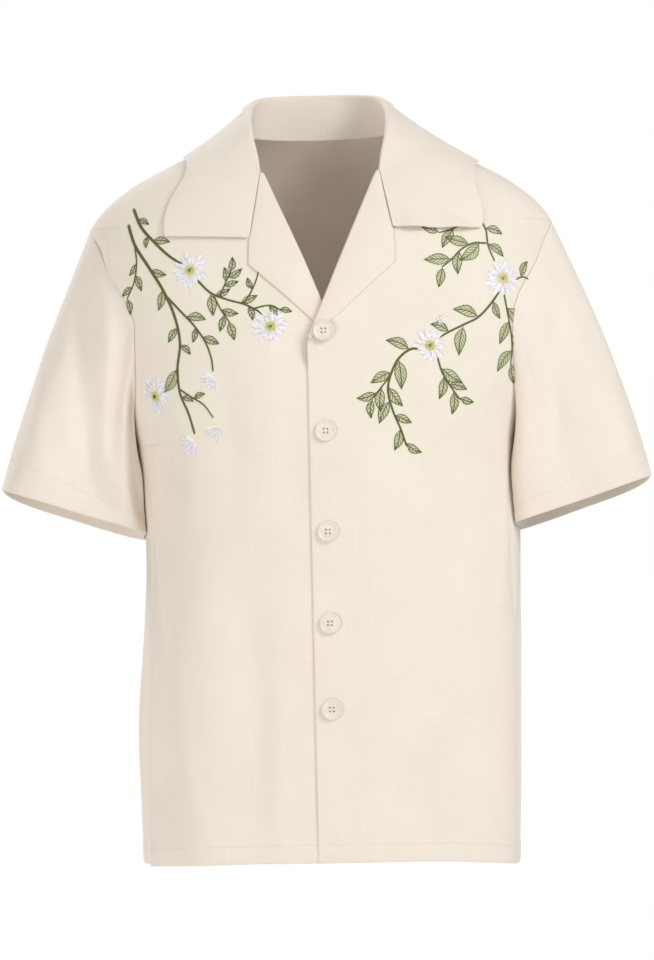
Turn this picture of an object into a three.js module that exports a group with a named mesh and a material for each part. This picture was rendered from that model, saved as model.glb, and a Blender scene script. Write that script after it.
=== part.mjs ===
// A short-sleeved cuban (camp) collar shirt as it hangs when worn: hollow, open at neck, hem and cuffs.
// Millimetres, +Z up, the front faces -Y and the wearer's left is +X. The origin lies between the two
// points where the shoulder seams meet the neck, which is where the wearer's shoulders carry the shirt.
import * as THREE from "three";

// Driving sizes.
const CLOTH = 1.2; // thickness of every cloth wall
const SEAM = 0.3; // gap between pieces that are sewn together
const SIDE_GAP = 0.45; // the same at side and shoulder seams, where the walls' inner sides lean together
const ARMHOLE_GAP = 0.5; // the same round the armhole, where both edges are polygons
const HEM = -699; // height of the body hem
const UNDERARM = -300; // height of the lowest point of the armhole
const SHOULDER_TIP = -85; // height of the outer end of the shoulder seam
const NECK_TOP = 8; // height of the back neckline and of the shoulder seam's inner end
const FRONT_TOP = 6; // height of the last row of a front, just below that end
const SQUARENESS = 2.3; // power of the body's sections: 2 is an ellipse, more is boxier

const OVERLAP = 15.5; // each front runs this far past the centre line
const BREAK_HEIGHT = -206; // where the lapel starts to turn out
const GORGE = { x: 57, z: -37 }; // where lapel, collar and neckline meet
const NOTCH = { x: 68.5, left: -95.5, right: -103.5 }; // inner corner between collar and lapel, by side
const LAPEL_CORNER = { x: 69.5, z: -129 };

const WALL_GAP = 0.6; // between a turned-out piece and the front it lies on, at its closest
const LAPEL_LIFT = 1.2; // the same at the lapel's free edge
const LAPEL_BELLY = 1.4; // how much more the lapel stands off the front in its middle
const LAPEL_FULL = 60; // both are less where the lapel is narrower than this
const COLLAR_LIFT = 2.4; // clearance under the collar's free edge
const COLLAR_BELLY = 0.8; // how much more the collar stands off further in
const FOLD_BACK = 5; // width of the facing's return inside the neck edge
const UNDERLAP_DROP = 2; // how far the under front lies behind the top front below the lapels
const CROSSING_DROP = 6.6; // the same where the lapels cross
const CROSSING = { top: -236, full: -212 }; // heights over which the one becomes the other

const BUTTON_HEIGHTS = [-195.5, -290.5, -386, -473, -554.5];
const BUTTON_LIFT = 0.4; // gap under a button
const FIRST_BUTTON_LIFT = 2.4; // the top button sits on the end of the lapel
const BUTTON = { radius: 10, thick: 3, rim: 1.8, dish: 0.8, bevel: 0.8 };

// The body's sections, one row for each height: half width at the side, depth to the front and to the back.
const SECTIONS = [
  { z: -699, half: 176.5, front: 133, back: 123 },
  { z: -600, half: 179.5, front: 132, back: 119 },
  { z: -450, half: 183, front: 133, back: 118 },
  { z: -360, half: 183.5, front: 135, back: 118.5 },
  { z: -330, half: 184, front: 135.5, back: 119 },
  { z: -300, half: 187, front: 136, back: 120 },
  { z: -270, half: 195, front: 135.5, back: 121 },
  { z: -239, half: 206, front: 134, back: 122 },
  { z: -186, half: 222, front: 129, back: 121 },
  { z: -128, half: 231, front: 118, back: 116 },
  { z: -100, half: 230.5, front: 110, back: 111.5 },
  { z: -85, half: 226.5, front: 104.5, back: 108 },
  { z: -66, half: 213, front: 96.5, back: 103 },
  { z: -52, half: 197, front: 90.5, back: 98.5 },
  { z: -39, half: 178, front: 84, back: 93.5 },
  { z: -22, half: 144.5, front: 74, back: 85 },
  { z: -5, half: 105, front: 62, back: 73 },
  { z: 8, half: 72, front: 50, back: 62 },
];

// The trunk hangs a little to the wearer's left, and its right side flares out lower down. The hem
// dips at the sides and the back.
const SWAY = { by: 5, top: -290, full: -400 };
const FLARE = { by: 14, top: -400, full: -600 };
const HEM_DIP = { left: 12, right: 5, back: 3, top: -540, full: -690 };

// Where the armhole seam runs, seen from the front and from the back: distance from the centre line.
const ARMHOLE = [
  { z: -300, front: 187, back: 187 },
  { z: -239, front: 182.5, back: 190 },
  { z: -186, front: 182, back: 198 },
  { z: -162, front: 188.5, back: 205 },
  { z: -128, front: 207.5, back: 215 },
  { z: -100, front: 219.5, back: 223 },
  { z: -85, front: 226.5, back: 226.5 },
];

// The front neckline under the collar, from the gorge up to the shoulder seam.
const NECKLINE = [
  { ...GORGE },
  { x: 58.7, z: -23 },
  { x: 62, z: -8 },
  { x: 68, z: 3 },
  { x: 72, z: 8 },
];

// Long soft folds of the body. at is the angle round the body from the centre front, + to the wearer's
// left; drift is how far it moves by the bottom; depth is outward; top and bottom are heights.
const BODY_FOLDS = [
  { at: 16, drift: -4, width: 7, depth: 3, top: -330, bottom: -760 },
  { at: 34, drift: 6, width: 8, depth: -4, top: -240, bottom: -760 },
  { at: 58, drift: 4, width: 9, depth: 5, top: -330, bottom: -760 },
  { at: 84, drift: -3, width: 8, depth: -6, top: -380, bottom: -760 },
  { at: 108, drift: 2, width: 9, depth: 5, top: -360, bottom: -760 },
  { at: 132, drift: 3, width: 9, depth: -7, top: -250, bottom: -760 },
  { at: 156, drift: -2, width: 10, depth: 5, top: -280, bottom: -760 },
  { at: 179, drift: 0, width: 12, depth: -5, top: -240, bottom: -760 },
  { at: -20, drift: -6, width: 8, depth: -3, top: -300, bottom: -760 },
  { at: -40, drift: -3, width: 9, depth: 4, top: -260, bottom: -760 },
  { at: -62, drift: -2, width: 6, depth: 7, top: -430, bottom: -760 },
  { at: -80, drift: 2, width: 9, depth: -8, top: -400, bottom: -760 },
  { at: -106, drift: 3, width: 9, depth: 5, top: -370, bottom: -760 },
  { at: -130, drift: -4, width: 10, depth: -6, top: -260, bottom: -760 },
  { at: -155, drift: 2, width: 9, depth: 5, top: -300, bottom: -760 },
];
const BODY_FOLD_RISE = 2.2; // a fold has its whole depth after 1/2.2 of its length

// The sleeve's hem ring, on the wearer's left: its outer and inner ends as seen from the front.
const CUFF = {
  outer: { x: 318, z: -336 },
  inner: { x: 168, z: -384 },
  y: 4,
  depth: 62,
  backDrop: 9,
  power: 2.9,
};
const SLEEVE_CLEARANCE = { by: 2.6, top: -290, full: -330 }; // between the sleeve and the body beside it
const SLEEVE_BELLY = { left: 8, right: 5 }; // how far each sleeve's outer line bows out

// Folds of a sleeve. turn goes round from the top, through the front at a quarter, to the back; from is
// how far down the sleeve it begins.
const SLEEVE_FOLDS = [
  { turn: 0.13, width: 0.045, depth: 4, from: 0.1 },
  { turn: 0.24, width: 0.05, depth: -5, from: 0.05 },
  { turn: 0.36, width: 0.05, depth: 5, from: 0.15 },
  { turn: 0.66, width: 0.05, depth: 5, from: 0.2 },
  { turn: 0.79, width: 0.05, depth: -5, from: 0.1 },
];
const SLEEVE_FOLD_RISE = 0.5; // how much further down the sleeve a fold has its whole depth

// The collar, from the centre back (along 0) past the shoulder seam (along 1/2) to the gorge (along 1).
// x, y and z place the top of its roll; seam is the height of the neckline it is sewn to.
const COLLAR_ROLL = [
  { along: 0, x: 0, y: 68, z: 54, seam: 8 },
  { along: 0.09, x: 17, y: 66.8, z: 53.8, seam: 8 },
  { along: 0.2, x: 37, y: 58, z: 52, seam: 8 },
  { along: 0.36, x: 57, y: 32, z: 46, seam: 8 },
  { along: 0.5, x: 63, y: 4, z: 34, seam: 8 },
  { along: 0.61, x: 64.5, y: -33, z: 21, seam: 3 },
  { along: 0.72, x: 63.5, y: -61, z: 1, seam: -8 },
  { along: 0.86, x: 59.6, y: -74, z: -20, seam: -23 },
  { along: 1, x: 57.3, y: -82, z: -35.7, seam: -37 },
];

// The collar's outer edge on the body, for each side: angle round the body and height. The wearer's left
// leaf is spread a little wider than the right one. The last row is the collar's point.
const COLLAR_EDGE = [
  { along: 0, left: 180, leftZ: -24, right: 180, rightZ: -24 },
  { along: 0.2, left: 148, leftZ: -24, right: 146, rightZ: -22 },
  { along: 0.38, left: 114, leftZ: -25, right: 114, rightZ: -18 },
  { along: 0.48, left: 88, leftZ: -26, right: 86, rightZ: -16 },
  { along: 0.56, left: 58.5, leftZ: -34, right: 56, rightZ: -24 },
  { along: 0.64, left: 43.8, leftZ: -60, right: 42.8, rightZ: -43 },
  { along: 0.74, left: 39.6, leftZ: -97, right: 38.2, rightZ: -99 },
];
const COLLAR_FOLD = { back: 3, front: 1.9 }; // outer radius of the roll
const COLLAR_BOW = -1.5; // how far the leaf bows between roll and edge, out or (negative) in
const COLLAR_FRONT = 0.6; // where along the collar its sizes begin to change to those of its front end

const CREAM = 0xf1e7da;
const DEGREE = Math.PI / 180;

const lerp = (a, b, t) => a + (b - a) * t;
const clamp = (t) => Math.min(1, Math.max(0, t));
const smooth = (t) => clamp(t) * clamp(t) * (3 - 2 * clamp(t));

// How far something has come at a height, when it begins at top and is complete at full.
const grown = ({ top, full }, z) => smooth((top - z) / (top - full));

const vec = (x, y, z) => new THREE.Vector3(x, y, z);
const mix = (a, b, t) => a.clone().lerp(b, t);

// A smooth curve through a table's rows that never overshoots them: one column against another.
function curveThrough(rows, from, to) {
  const x = rows.map((row) => row[from]);
  const y = rows.map((row) => row[to]);
  const rise = x.slice(1).map((next, i) => (y[i + 1] - y[i]) / (next - x[i]));
  const slope = y.map((_, i) => {
    if (i === 0) return rise[0];
    if (i === y.length - 1) return rise[i - 1];
    return rise[i - 1] * rise[i] <= 0 ? 0 : (2 * rise[i - 1] * rise[i]) / (rise[i - 1] + rise[i]);
  });
  return (at) => {
    const t = Math.min(x[x.length - 1], Math.max(x[0], at));
    const i = Math.min(x.length - 2, Math.max(0, x.findIndex((next) => next >= t) - 1));
    const step = x[i + 1] - x[i];
    const s = (t - x[i]) / step;
    const low = y[i] * (1 + 2 * s) + slope[i] * step * s;
    const high = y[i + 1] * (3 - 2 * s) - slope[i + 1] * step * (1 - s);
    return low * (1 - s) ** 2 + high * s ** 2;
  };
}

const halfWidth = curveThrough(SECTIONS, "z", "half");
const frontDepth = curveThrough(SECTIONS, "z", "front");
const backDepth = curveThrough(SECTIONS, "z", "back");
const armholeFront = curveThrough(ARMHOLE, "z", "front");
const armholeBack = curveThrough(ARMHOLE, "z", "back");

// ---------------------------------------------------------------- the body's surface

// The plain form at an angle round the body (radians from the centre front, + to the left) and a height.
function form(angle, z) {
  const across = Math.sin(angle);
  const forward = Math.cos(angle);
  const size = (Math.abs(across) ** SQUARENESS + Math.abs(forward) ** SQUARENESS) ** (-1 / SQUARENESS);
  const depth = forward > 0 ? frontDepth(z) : backDepth(z);
  const aside = sway(z) - (across < 0 ? flare(z) : 0);
  const x = halfWidth(z) * across * size + aside * across ** 2;
  return vec(x, -depth * forward * size, z - hemDip(across, forward) * grown(HEM_DIP, z));
}

// How far the trunk's sides stand to the wearer's left at a height.
const sway = (z) => SWAY.by * grown(SWAY, z);

// How far the wearer's right side flares out at a height.
const flare = (z) => FLARE.by * grown(FLARE, z);

// How far the hem dips in a direction across (+ to the left) and forward.
function hemDip(across, forward) {
  const side = across > 0 ? HEM_DIP.left : HEM_DIP.right;
  return side * Math.abs(across) ** 3 + HEM_DIP.back * Math.max(0, -forward) ** 2;
}

// The angle at which the form reaches a distance x from the centre line at a height.
function angleAt(x, z, back = false) {
  const across = Math.min(1, Math.abs(x) / halfWidth(z));
  const forward = (1 - across ** SQUARENESS) ** (1 / SQUARENESS);
  const angle = Math.atan2(across, forward);
  return Math.sign(x) * (back ? Math.PI - angle : angle);
}

// Outward direction of the form.
function formNormal(angle, z) {
  const round = form(angle + 1e-3, z).sub(form(angle - 1e-3, z));
  const up = form(angle, z + 0.5).sub(form(angle, z - 0.5));
  return round.cross(up).normalize();
}

// Depth of the body's folds at a place.
function bodyFold(angle, z) {
  return BODY_FOLDS.reduce((sum, fold) => {
    const down = clamp((fold.top - z) / (fold.top - fold.bottom));
    let off = angle / DEGREE - fold.at - fold.drift * down;
    off -= 360 * Math.round(off / 360);
    const fade = smooth(down * BODY_FOLD_RISE);
    return sum + fold.depth * fade * Math.exp(-((off / fold.width) ** 2));
  }, 0);
}

// A point of the body's cloth, lifted off it by so much.
function body(angle, z, lift = 0) {
  return form(angle, z).addScaledVector(formNormal(angle, z), bodyFold(angle, z) + lift);
}

// How far the under front (and its lapel) is pushed in where the top front covers it, at a place seen
// from the front: x grows to the wearer's left.
function drop(x, z) {
  const start = 42; // it begins this far outside the top front's edge
  const full = 3; // and is complete this far outside it
  const deep = lerp(UNDERLAP_DROP, CROSSING_DROP, grown(CROSSING, z));
  return deep * smooth((x - innerEdge(z) + start) / (start - full));
}

// A point on a front, by its distance from the centre line. side is 1 for the wearer's left and -1 for
// the right.
function front(side, x, z, lift = 0) {
  const under = side < 0 ? drop(-x, z) : 0;
  return body(angleAt(side * x, z), z, lift - under);
}

// ---------------------------------------------------------------- walls

// A closed wall from a grid of points on its visible side. The grid's rows run so that
// (next in row) x (next row) points out of the cloth. A ring grid closes on itself along each row.
function wall(grid, ring = false, thick = CLOTH) {
  const rows = grid.length;
  const columns = grid[0].length;
  const at = (i, j) => {
    const column = ring ? (j + columns) % columns : Math.min(columns - 1, Math.max(0, j));
    return grid[Math.min(rows - 1, Math.max(0, i))][column];
  };
  const inward = (i, j) => {
    const along = at(i, j + 1).clone().sub(at(i, j - 1));
    const up = at(i + 1, j).clone().sub(at(i - 1, j));
    return along.cross(up).normalize().multiplyScalar(-thick);
  };
  const points = [];
  grid.forEach((row) => row.forEach((point) => points.push(point)));
  grid.forEach((row, i) => row.forEach((point, j) => points.push(point.clone().add(inward(i, j)))));
  const inner = rows * columns;
  const faces = [];
  const quad = (a, b, c, d) => faces.push(a, b, c, a, c, d);
  const cells = ring ? columns : columns - 1;
  for (let i = 0; i < rows - 1; i++) {
    for (let j = 0; j < cells; j++) {
      const a = i * columns + j;
      const b = i * columns + ((j + 1) % columns);
      quad(a, b, b + columns, a + columns);
      quad(inner + b, inner + a, inner + a + columns, inner + b + columns);
    }
  }
  const last = (rows - 1) * columns;
  for (let j = 0; j < cells; j++) {
    const k = (j + 1) % columns;
    quad(j, inner + j, inner + k, k);
    quad(last + k, inner + last + k, inner + last + j, last + j);
  }
  if (!ring) {
    for (let i = 0; i < rows - 1; i++) {
      const a = i * columns;
      const b = a + columns - 1;
      quad(a + columns, inner + a + columns, inner + a, a);
      quad(b, inner + b, inner + b + columns, b + columns);
    }
  }
  const geometry = new THREE.BufferGeometry().setFromPoints(points);
  geometry.setIndex(faces);
  geometry.computeVertexNormals();
  return geometry;
}

// The same grid for the other side of the body.
const mirrored = (grid) => grid.map((row) => row.map((p) => vec(-p.x, p.y, p.z)).reverse());

// Evenly spaced numbers from a to b.
const steps = (a, b, count) => Array.from({ length: count }, (_, i) => lerp(a, b, i / (count - 1)));

// ---------------------------------------------------------------- panels

const BODY_ROWS = [
  ...steps(HEM, UNDERARM - 30, 8),
  UNDERARM,
  -297, -291, -282, -270, -255, -236, -218, -206, -196, -186, -174, -162, -150, -138,
  -126, -112, -100, -92, -87,
  SHOULDER_TIP,
  -76, -64, -50,
  GORGE.z,
  -30, -22, -12, -3,
];

// Columns of a front, from its inner edge to its outer one: close together where the fronts overlap.
const FRONT_COLUMNS = [
  0, 0.02, 0.04, 0.06, 0.08, 0.1, 0.125, 0.155, 0.19, 0.23,
  0.28, 0.34, 0.42, 0.51, 0.6, 0.69, 0.78, 0.86, 0.93, 1,
];
const BACK_COLUMNS = 21;

// Half the gap of a seam that runs along the side of the form, as an angle.
const seamAngle = (depth) => SIDE_GAP / 2 / depth;

// Distance of a front's inner edge from the centre line: the overlap, the lapel's roll, the neckline.
const neckline = curveThrough(NECKLINE, "z", "x");
function innerEdge(z) {
  if (z <= BREAK_HEIGHT) return -OVERLAP;
  if (z <= GORGE.z) return lerp(-OVERLAP, GORGE.x, (z - BREAK_HEIGHT) / (GORGE.z - BREAK_HEIGHT));
  return neckline(z);
}

// Angle of the outer edge of a front, or of half the back: side seam, armhole, shoulder seam.
function outerAngle(z, back) {
  const angle = armholeAngle(z, back);
  return back ? angle + seamAngle(backDepth(z)) : angle - seamAngle(frontDepth(z));
}

function frontPanel(side) {
  const grid = [...BODY_ROWS, FRONT_TOP].map((z) => {
    const inner = angleAt(innerEdge(z), z);
    const outer = outerAngle(z, false);
    return FRONT_COLUMNS.map((t) => {
      const angle = lerp(inner, outer, t);
      const under = side < 0 ? drop(-form(angle, z).x, z) : 0;
      return body(side * angle, z, -under);
    });
  });
  return wall(side > 0 ? grid : grid.map((row) => row.reverse()));
}

function backPanel() {
  const grid = [...BODY_ROWS, NECK_TOP].map((z) => {
    const edge = outerAngle(z, true);
    return steps(edge, 2 * Math.PI - edge, BACK_COLUMNS).map((angle) => body(angle, z));
  });
  return wall(grid);
}

// ---------------------------------------------------------------- lapels

// The inner corner between collar and lapel on one side.
const notch = (side) => ({ x: NOTCH.x, z: side > 0 ? NOTCH.left : NOTCH.right });

// The lapel's free outline, in three straight pieces from the gorge to the break.
const lapelOutline = (side) => [GORGE, notch(side), LAPEL_CORNER, { x: -OVERLAP, z: BREAK_HEIGHT }];

// Its ribs: how far down the roll each starts, and where on the outline it ends.
const LAPEL_RIBS = [
  { roll: 0.035, piece: 0, part: 0.1 },
  { roll: 0.08, piece: 0, part: 0.3 },
  { roll: 0.13, piece: 0, part: 0.55 },
  { roll: 0.18, piece: 0, part: 0.8 },
  { roll: 0.23, piece: 1, part: 0 },
  { roll: 0.3, piece: 1, part: 0.5 },
  { roll: 0.37, piece: 2, part: 0 },
  { roll: 0.43, piece: 2, part: 0.11 },
  { roll: 0.49, piece: 2, part: 0.22 },
  { roll: 0.55, piece: 2, part: 0.33 },
  { roll: 0.61, piece: 2, part: 0.44 },
  { roll: 0.67, piece: 2, part: 0.55 },
  { roll: 0.73, piece: 2, part: 0.65 },
  { roll: 0.79, piece: 2, part: 0.74 },
  { roll: 0.85, piece: 2, part: 0.82 },
  { roll: 0.9, piece: 2, part: 0.885 },
  { roll: 0.945, piece: 2, part: 0.93 },
];
const LAPEL_STEPS = 7; // cells from the roll to the free edge
const WRAP_STEPS = 6; // points round the fold

function lapel(side) {
  const wrap = CLOTH / 2 + WALL_GAP + CLOTH; // from the middle of the front's wall to the facing's outside
  const outline = lapelOutline(side);
  const grid = LAPEL_RIBS.map((rib) => {
    const start = outline[rib.piece];
    const end = outline[rib.piece + 1];
    const rollAt = { x: lerp(GORGE.x, -OVERLAP, rib.roll), z: lerp(GORGE.z, BREAK_HEIGHT, rib.roll) };
    const outer = { x: lerp(start.x, end.x, rib.part), z: lerp(start.z, end.z, rib.part) };
    if (rib.piece === 0) outer.x -= SEAM;
    const span = Math.hypot(outer.x - rollAt.x, outer.z - rollAt.z);
    const place = (t, lift) => front(side, lerp(rollAt.x, outer.x, t), lerp(rollAt.z, outer.z, t), lift);
    const row = [place(Math.min(0.9, FOLD_BACK / span), -CLOTH / 2 - wrap)];
    steps(-90, 90, WRAP_STEPS).forEach((turn) => {
      const beyond = (-wrap * Math.cos(turn * DEGREE)) / span;
      row.push(place(beyond, wrap * Math.sin(turn * DEGREE) - CLOTH / 2));
    });
    const size = Math.min(1, span / LAPEL_FULL);
    steps(1 / LAPEL_STEPS, 1, LAPEL_STEPS).forEach((t) => {
      const lift = lerp(wrap - CLOTH / 2, CLOTH + lerp(WALL_GAP, LAPEL_LIFT, size), smooth(t * 2));
      row.push(place(t, lift + LAPEL_BELLY * size * Math.sin(Math.PI * t)));
    });
    return row;
  });
  return wall(side > 0 ? grid.reverse() : grid);
}

// ---------------------------------------------------------------- collar

// Moves a point out until it stands at least so far off the body's form.
function clearOfBody(point, clearance) {
  const outside = (p) => {
    const depth = p.y < 0 ? frontDepth(p.z) : backDepth(p.z);
    const across = Math.abs(p.x - sway(p.z)) / halfWidth(p.z);
    return (across ** SQUARENESS + (Math.abs(p.y) / depth) ** SQUARENESS) ** (1 / SQUARENESS) - 1;
  };
  const probe = 0.25;
  const tries = 8;
  for (let i = 0; i < tries; i++) {
    const here = outside(point);
    const slope = vec(
      outside(point.clone().add(vec(probe, 0, 0))) - here,
      outside(point.clone().add(vec(0, probe, 0))) - here,
      outside(point.clone().add(vec(0, 0, probe))) - here,
    ).divideScalar(probe);
    const distance = here / slope.length();
    if (distance >= clearance) break;
    point.addScaledVector(slope.normalize(), clearance - distance);
  }
  return point;
}

const rollCurve = ["x", "y", "z", "seam"].map((column) => curveThrough(COLLAR_ROLL, "along", column));
const POINT_AT = COLLAR_EDGE[COLLAR_EDGE.length - 1].along; // the collar's point

// The collar's outer edge on one side: round the shoulder to the point, then straight to the notch.
function collarEdge(side, along) {
  const lift = COLLAR_LIFT + CLOTH;
  const angle = curveThrough(COLLAR_EDGE, "along", side > 0 ? "left" : "right");
  const height = curveThrough(COLLAR_EDGE, "along", side > 0 ? "leftZ" : "rightZ");
  if (along <= POINT_AT) return body(side * angle(along) * DEGREE, height(along), lift);
  const t = (along - POINT_AT) / (1 - POINT_AT);
  const point = form(angle(1) * DEGREE, height(1));
  const corner = notch(side);
  return front(side, lerp(point.x, corner.x + SEAM, t), lerp(point.z, corner.z, t), lift);
}

// The neckline at a place along the collar, as an angle and a height.
function neckSeam(along) {
  const z = rollCurve[3](along);
  if (along <= 0.5) return { angle: lerp(Math.PI, Math.PI / 2, along * 2), z };
  return { angle: z >= NECK_TOP ? Math.PI / 2 : angleAt(neckline(z), z), z };
}

const ROLL_STEPS = 6; // points round the roll
const LEAF_STEPS = 7; // cells down the leaf

// One rib of the collar: up the neck side of the stand, over the roll and down the leaf.
function collarRib(side, along) {
  const seam = neckSeam(along);
  const foot = body(side * seam.angle, seam.z, SEAM + CLOTH / 4);
  const edge = collarEdge(side, along);
  const [x, y, z] = rollCurve.map((curve) => curve(along));
  const top = vec(side * x, y, z);
  const front = smooth((along - COLLAR_FRONT) / (1 - COLLAR_FRONT));
  const radius = lerp(COLLAR_FOLD.back, COLLAR_FOLD.front, front);
  const up = top.clone().sub(foot).normalize();
  const leafward = edge.clone().sub(top);
  leafward.addScaledVector(up, -leafward.dot(up)).normalize();
  const centre = top.clone().addScaledVector(up, -radius).addScaledVector(leafward, radius);
  const reach = edge.clone().sub(centre);
  const slope = Math.atan2(-reach.dot(up), reach.dot(leafward));
  const last = Math.PI / 2 + slope + Math.asin(Math.min(1, radius / reach.length()));
  const row = [foot, mix(foot, top.clone().addScaledVector(up, -radius), 0.6)];
  steps(0, last, ROLL_STEPS).forEach((turn) => {
    const point = centre.clone();
    point.addScaledVector(leafward, -radius * Math.cos(turn)).addScaledVector(up, radius * Math.sin(turn));
    row.push(point);
  });
  const from = row[row.length - 1];
  const bowing = reach.clone().cross(up.clone().cross(leafward)).normalize();
  steps(1 / LEAF_STEPS, 1, LEAF_STEPS).forEach((t) => {
    const point = mix(from, edge, t).addScaledVector(bowing, COLLAR_BOW * Math.sin(Math.PI * t));
    const clearance = CLOTH + lerp(WALL_GAP + COLLAR_BELLY * (1 - front), COLLAR_LIFT, t);
    row.push(t < 1 ? clearOfBody(point, clearance + COLLAR_BELLY * Math.sin(Math.PI * t)) : edge);
  });
  return row;
}

function collar() {
  const places = [...steps(1, POINT_AT, 7), ...steps(POINT_AT, 0, 15).slice(1)];
  const left = places.map((along) => collarRib(1, along));
  const right = places.slice(0, -1).reverse().map((along) => collarRib(-1, along));
  return wall([...left, ...right]);
}

// ---------------------------------------------------------------- sleeves

const SLEEVE_ROWS = 8;
const ARMHOLE_STEP = 0.15; // how far the sleeve's edge stands proud of the panels
const UNDERARM_STEP = { by: 0.75, top: -180, full: -240 }; // how much more it does under the arm

// The angle of the armhole seam at a height, in front or behind.
function armholeAngle(z, back) {
  if (z <= UNDERARM || z >= SHOULDER_TIP) return Math.PI / 2;
  return angleAt(back ? armholeBack(z) : armholeFront(z), z, back);
}

// Half of the armhole, from the shoulder tip down to the underarm: each place lies a seam's width
// outside the panel's edge (under the arm a little further out) and knows its share of the half's length.
function armholeHalf(back) {
  const heights = BODY_ROWS.filter((z) => z >= UNDERARM && z <= SHOULDER_TIP).reverse();
  const line = heights.map((z) => body(armholeAngle(z, back), z));
  const walked = [0];
  line.slice(1).forEach((point, i) => walked.push(walked[i] + point.distanceTo(line[i])));
  return heights.map((z, i) => {
    const along = line[Math.min(line.length - 1, i + 1)].clone().sub(line[Math.max(0, i - 1)]);
    const outward = formNormal(armholeAngle(z, back), z);
    const away = back ? along.cross(outward) : outward.clone().cross(along);
    const point = line[i].clone().addScaledVector(away.normalize(), ARMHOLE_GAP);
    point.addScaledVector(outward, ARMHOLE_STEP + UNDERARM_STEP.by * grown(UNDERARM_STEP, z));
    return { point, part: walked[i] / walked[walked.length - 1] };
  });
}

// The whole armhole on the wearer's left: turn is 0 at the shoulder tip and 1/2 under the arm.
function armholeRing() {
  const front = armholeHalf(false).map(({ point, part }) => ({ point, turn: part / 2 }));
  const back = armholeHalf(true).slice(1, -1).reverse();
  return [...front, ...back.map(({ point, part }) => ({ point, turn: 1 - part / 2 }))];
}

// The sleeve's hem ring. It is seen nearly edge on, and dips at the back.
function cuff(turn) {
  const angle = turn * 2 * Math.PI;
  const { power } = CUFF;
  const size = (Math.abs(Math.cos(angle)) ** power + Math.abs(Math.sin(angle)) ** power) ** (-1 / power);
  const across = (1 + Math.cos(angle) * size) / 2;
  const back = -Math.sin(angle) * size;
  const x = lerp(CUFF.inner.x, CUFF.outer.x, across);
  const z = lerp(CUFF.inner.z, CUFF.outer.z, across);
  return vec(x, CUFF.y + CUFF.depth * back, z - CUFF.backDrop * Math.max(0, back));
}

function sleeveFold(turn, down) {
  return SLEEVE_FOLDS.reduce((sum, fold) => {
    const fade = smooth((down - fold.from) / SLEEVE_FOLD_RISE);
    return sum + fold.depth * fade * Math.exp(-(((turn - fold.turn) / fold.width) ** 2));
  }, 0);
}

function middle(points) {
  return points.reduce((sum, point) => sum.add(point), vec(0, 0, 0)).divideScalar(points.length);
}

// Keeps a point of the sleeve clear of the body below the underarm, on one side.
function besideBody(side, point) {
  const clearance = SLEEVE_CLEARANCE.by * grown(SLEEVE_CLEARANCE, point.z);
  if (clearance === 0) return point;
  const there = clearOfBody(vec(side * point.x, point.y, point.z), clearance);
  return vec(side * there.x, there.y, there.z);
}

// The sleeve's surface, drawn as the left one, for a side: its rings run from the armhole to the hem.
function sleeveGrid(side) {
  const belly = side > 0 ? SLEEVE_BELLY.left : SLEEVE_BELLY.right;
  const ring = armholeRing();
  const top = middle(ring.map(({ point }) => point));
  const bottom = middle(ring.map(({ turn }) => cuff(turn)));
  return steps(0, 1, SLEEVE_ROWS).map((down) => {
    const centre = mix(top, bottom, down);
    return ring.map(({ point: start, turn }) => {
      const point = mix(start, cuff(turn), down);
      const out = point.clone().sub(centre).normalize();
      const upper = Math.max(0, Math.cos(turn * 2 * Math.PI));
      const bow = belly * upper * 4 * down * (1 - down);
      return besideBody(side, point.addScaledVector(out, bow + sleeveFold(turn, down)));
    });
  });
}

// ---------------------------------------------------------------- buttons

// A button with a raised rim and a dished middle, its flat underside at the origin and its face to +Y.
function buttonGeometry() {
  const { radius, thick, rim, dish, bevel } = BUTTON;
  const profile = [
    [0, 0],
    [radius - bevel, 0],
    [radius, bevel],
    [radius, thick - bevel],
    [radius - bevel, thick],
    [radius - rim, thick],
    [radius - rim - dish, thick - dish],
    [0, thick - dish],
  ].map(([r, height]) => new THREE.Vector2(r, height));
  return new THREE.LatheGeometry(profile, 16);
}

// ---------------------------------------------------------------- assembly

const cloth = new THREE.MeshStandardMaterial({ color: CREAM, roughness: 0.9, metalness: 0 });
const resin = new THREE.MeshStandardMaterial({ color: 0xefe4d6, roughness: 0.4, metalness: 0 });

const shirt = new THREE.Group();
function add(name, geometry, material = cloth) {
  const mesh = new THREE.Mesh(geometry, material);
  mesh.name = name;
  shirt.add(mesh);
  return mesh;
}

add("front_left", frontPanel(1));
add("front_right", frontPanel(-1));
add("back", backPanel());
add("lapel_left", lapel(1));
add("lapel_right", lapel(-1));
add("collar", collar());
add("sleeve_left", wall(sleeveGrid(1), true));
add("sleeve_right", wall(mirrored(sleeveGrid(-1)), true));
BUTTON_HEIGHTS.forEach((z, i) => {
  const lift = i === 0 ? FIRST_BUTTON_LIFT : BUTTON_LIFT;
  const button = add(`button_${i + 1}`, buttonGeometry(), resin);
  button.position.copy(front(1, 0, z, lift));
  button.quaternion.setFromUnitVectors(vec(0, 1, 0), formNormal(0, z));
});

export default shirt;
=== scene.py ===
"""A short-sleeved cuban collar shirt as it hangs when worn: cloth, sewing, buttons and embroidery.

Sizes are in millimetres until a mesh is made, which is in metres. +Z is up, the front faces -Y and the
wearer's left is +X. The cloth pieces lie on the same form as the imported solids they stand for.
"""

import logging
import math
from dataclasses import dataclass, field
from enum import Enum
from typing import Callable, Iterable, Sequence

import bpy
import numpy as np
from mathutils import Matrix, Vector


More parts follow.
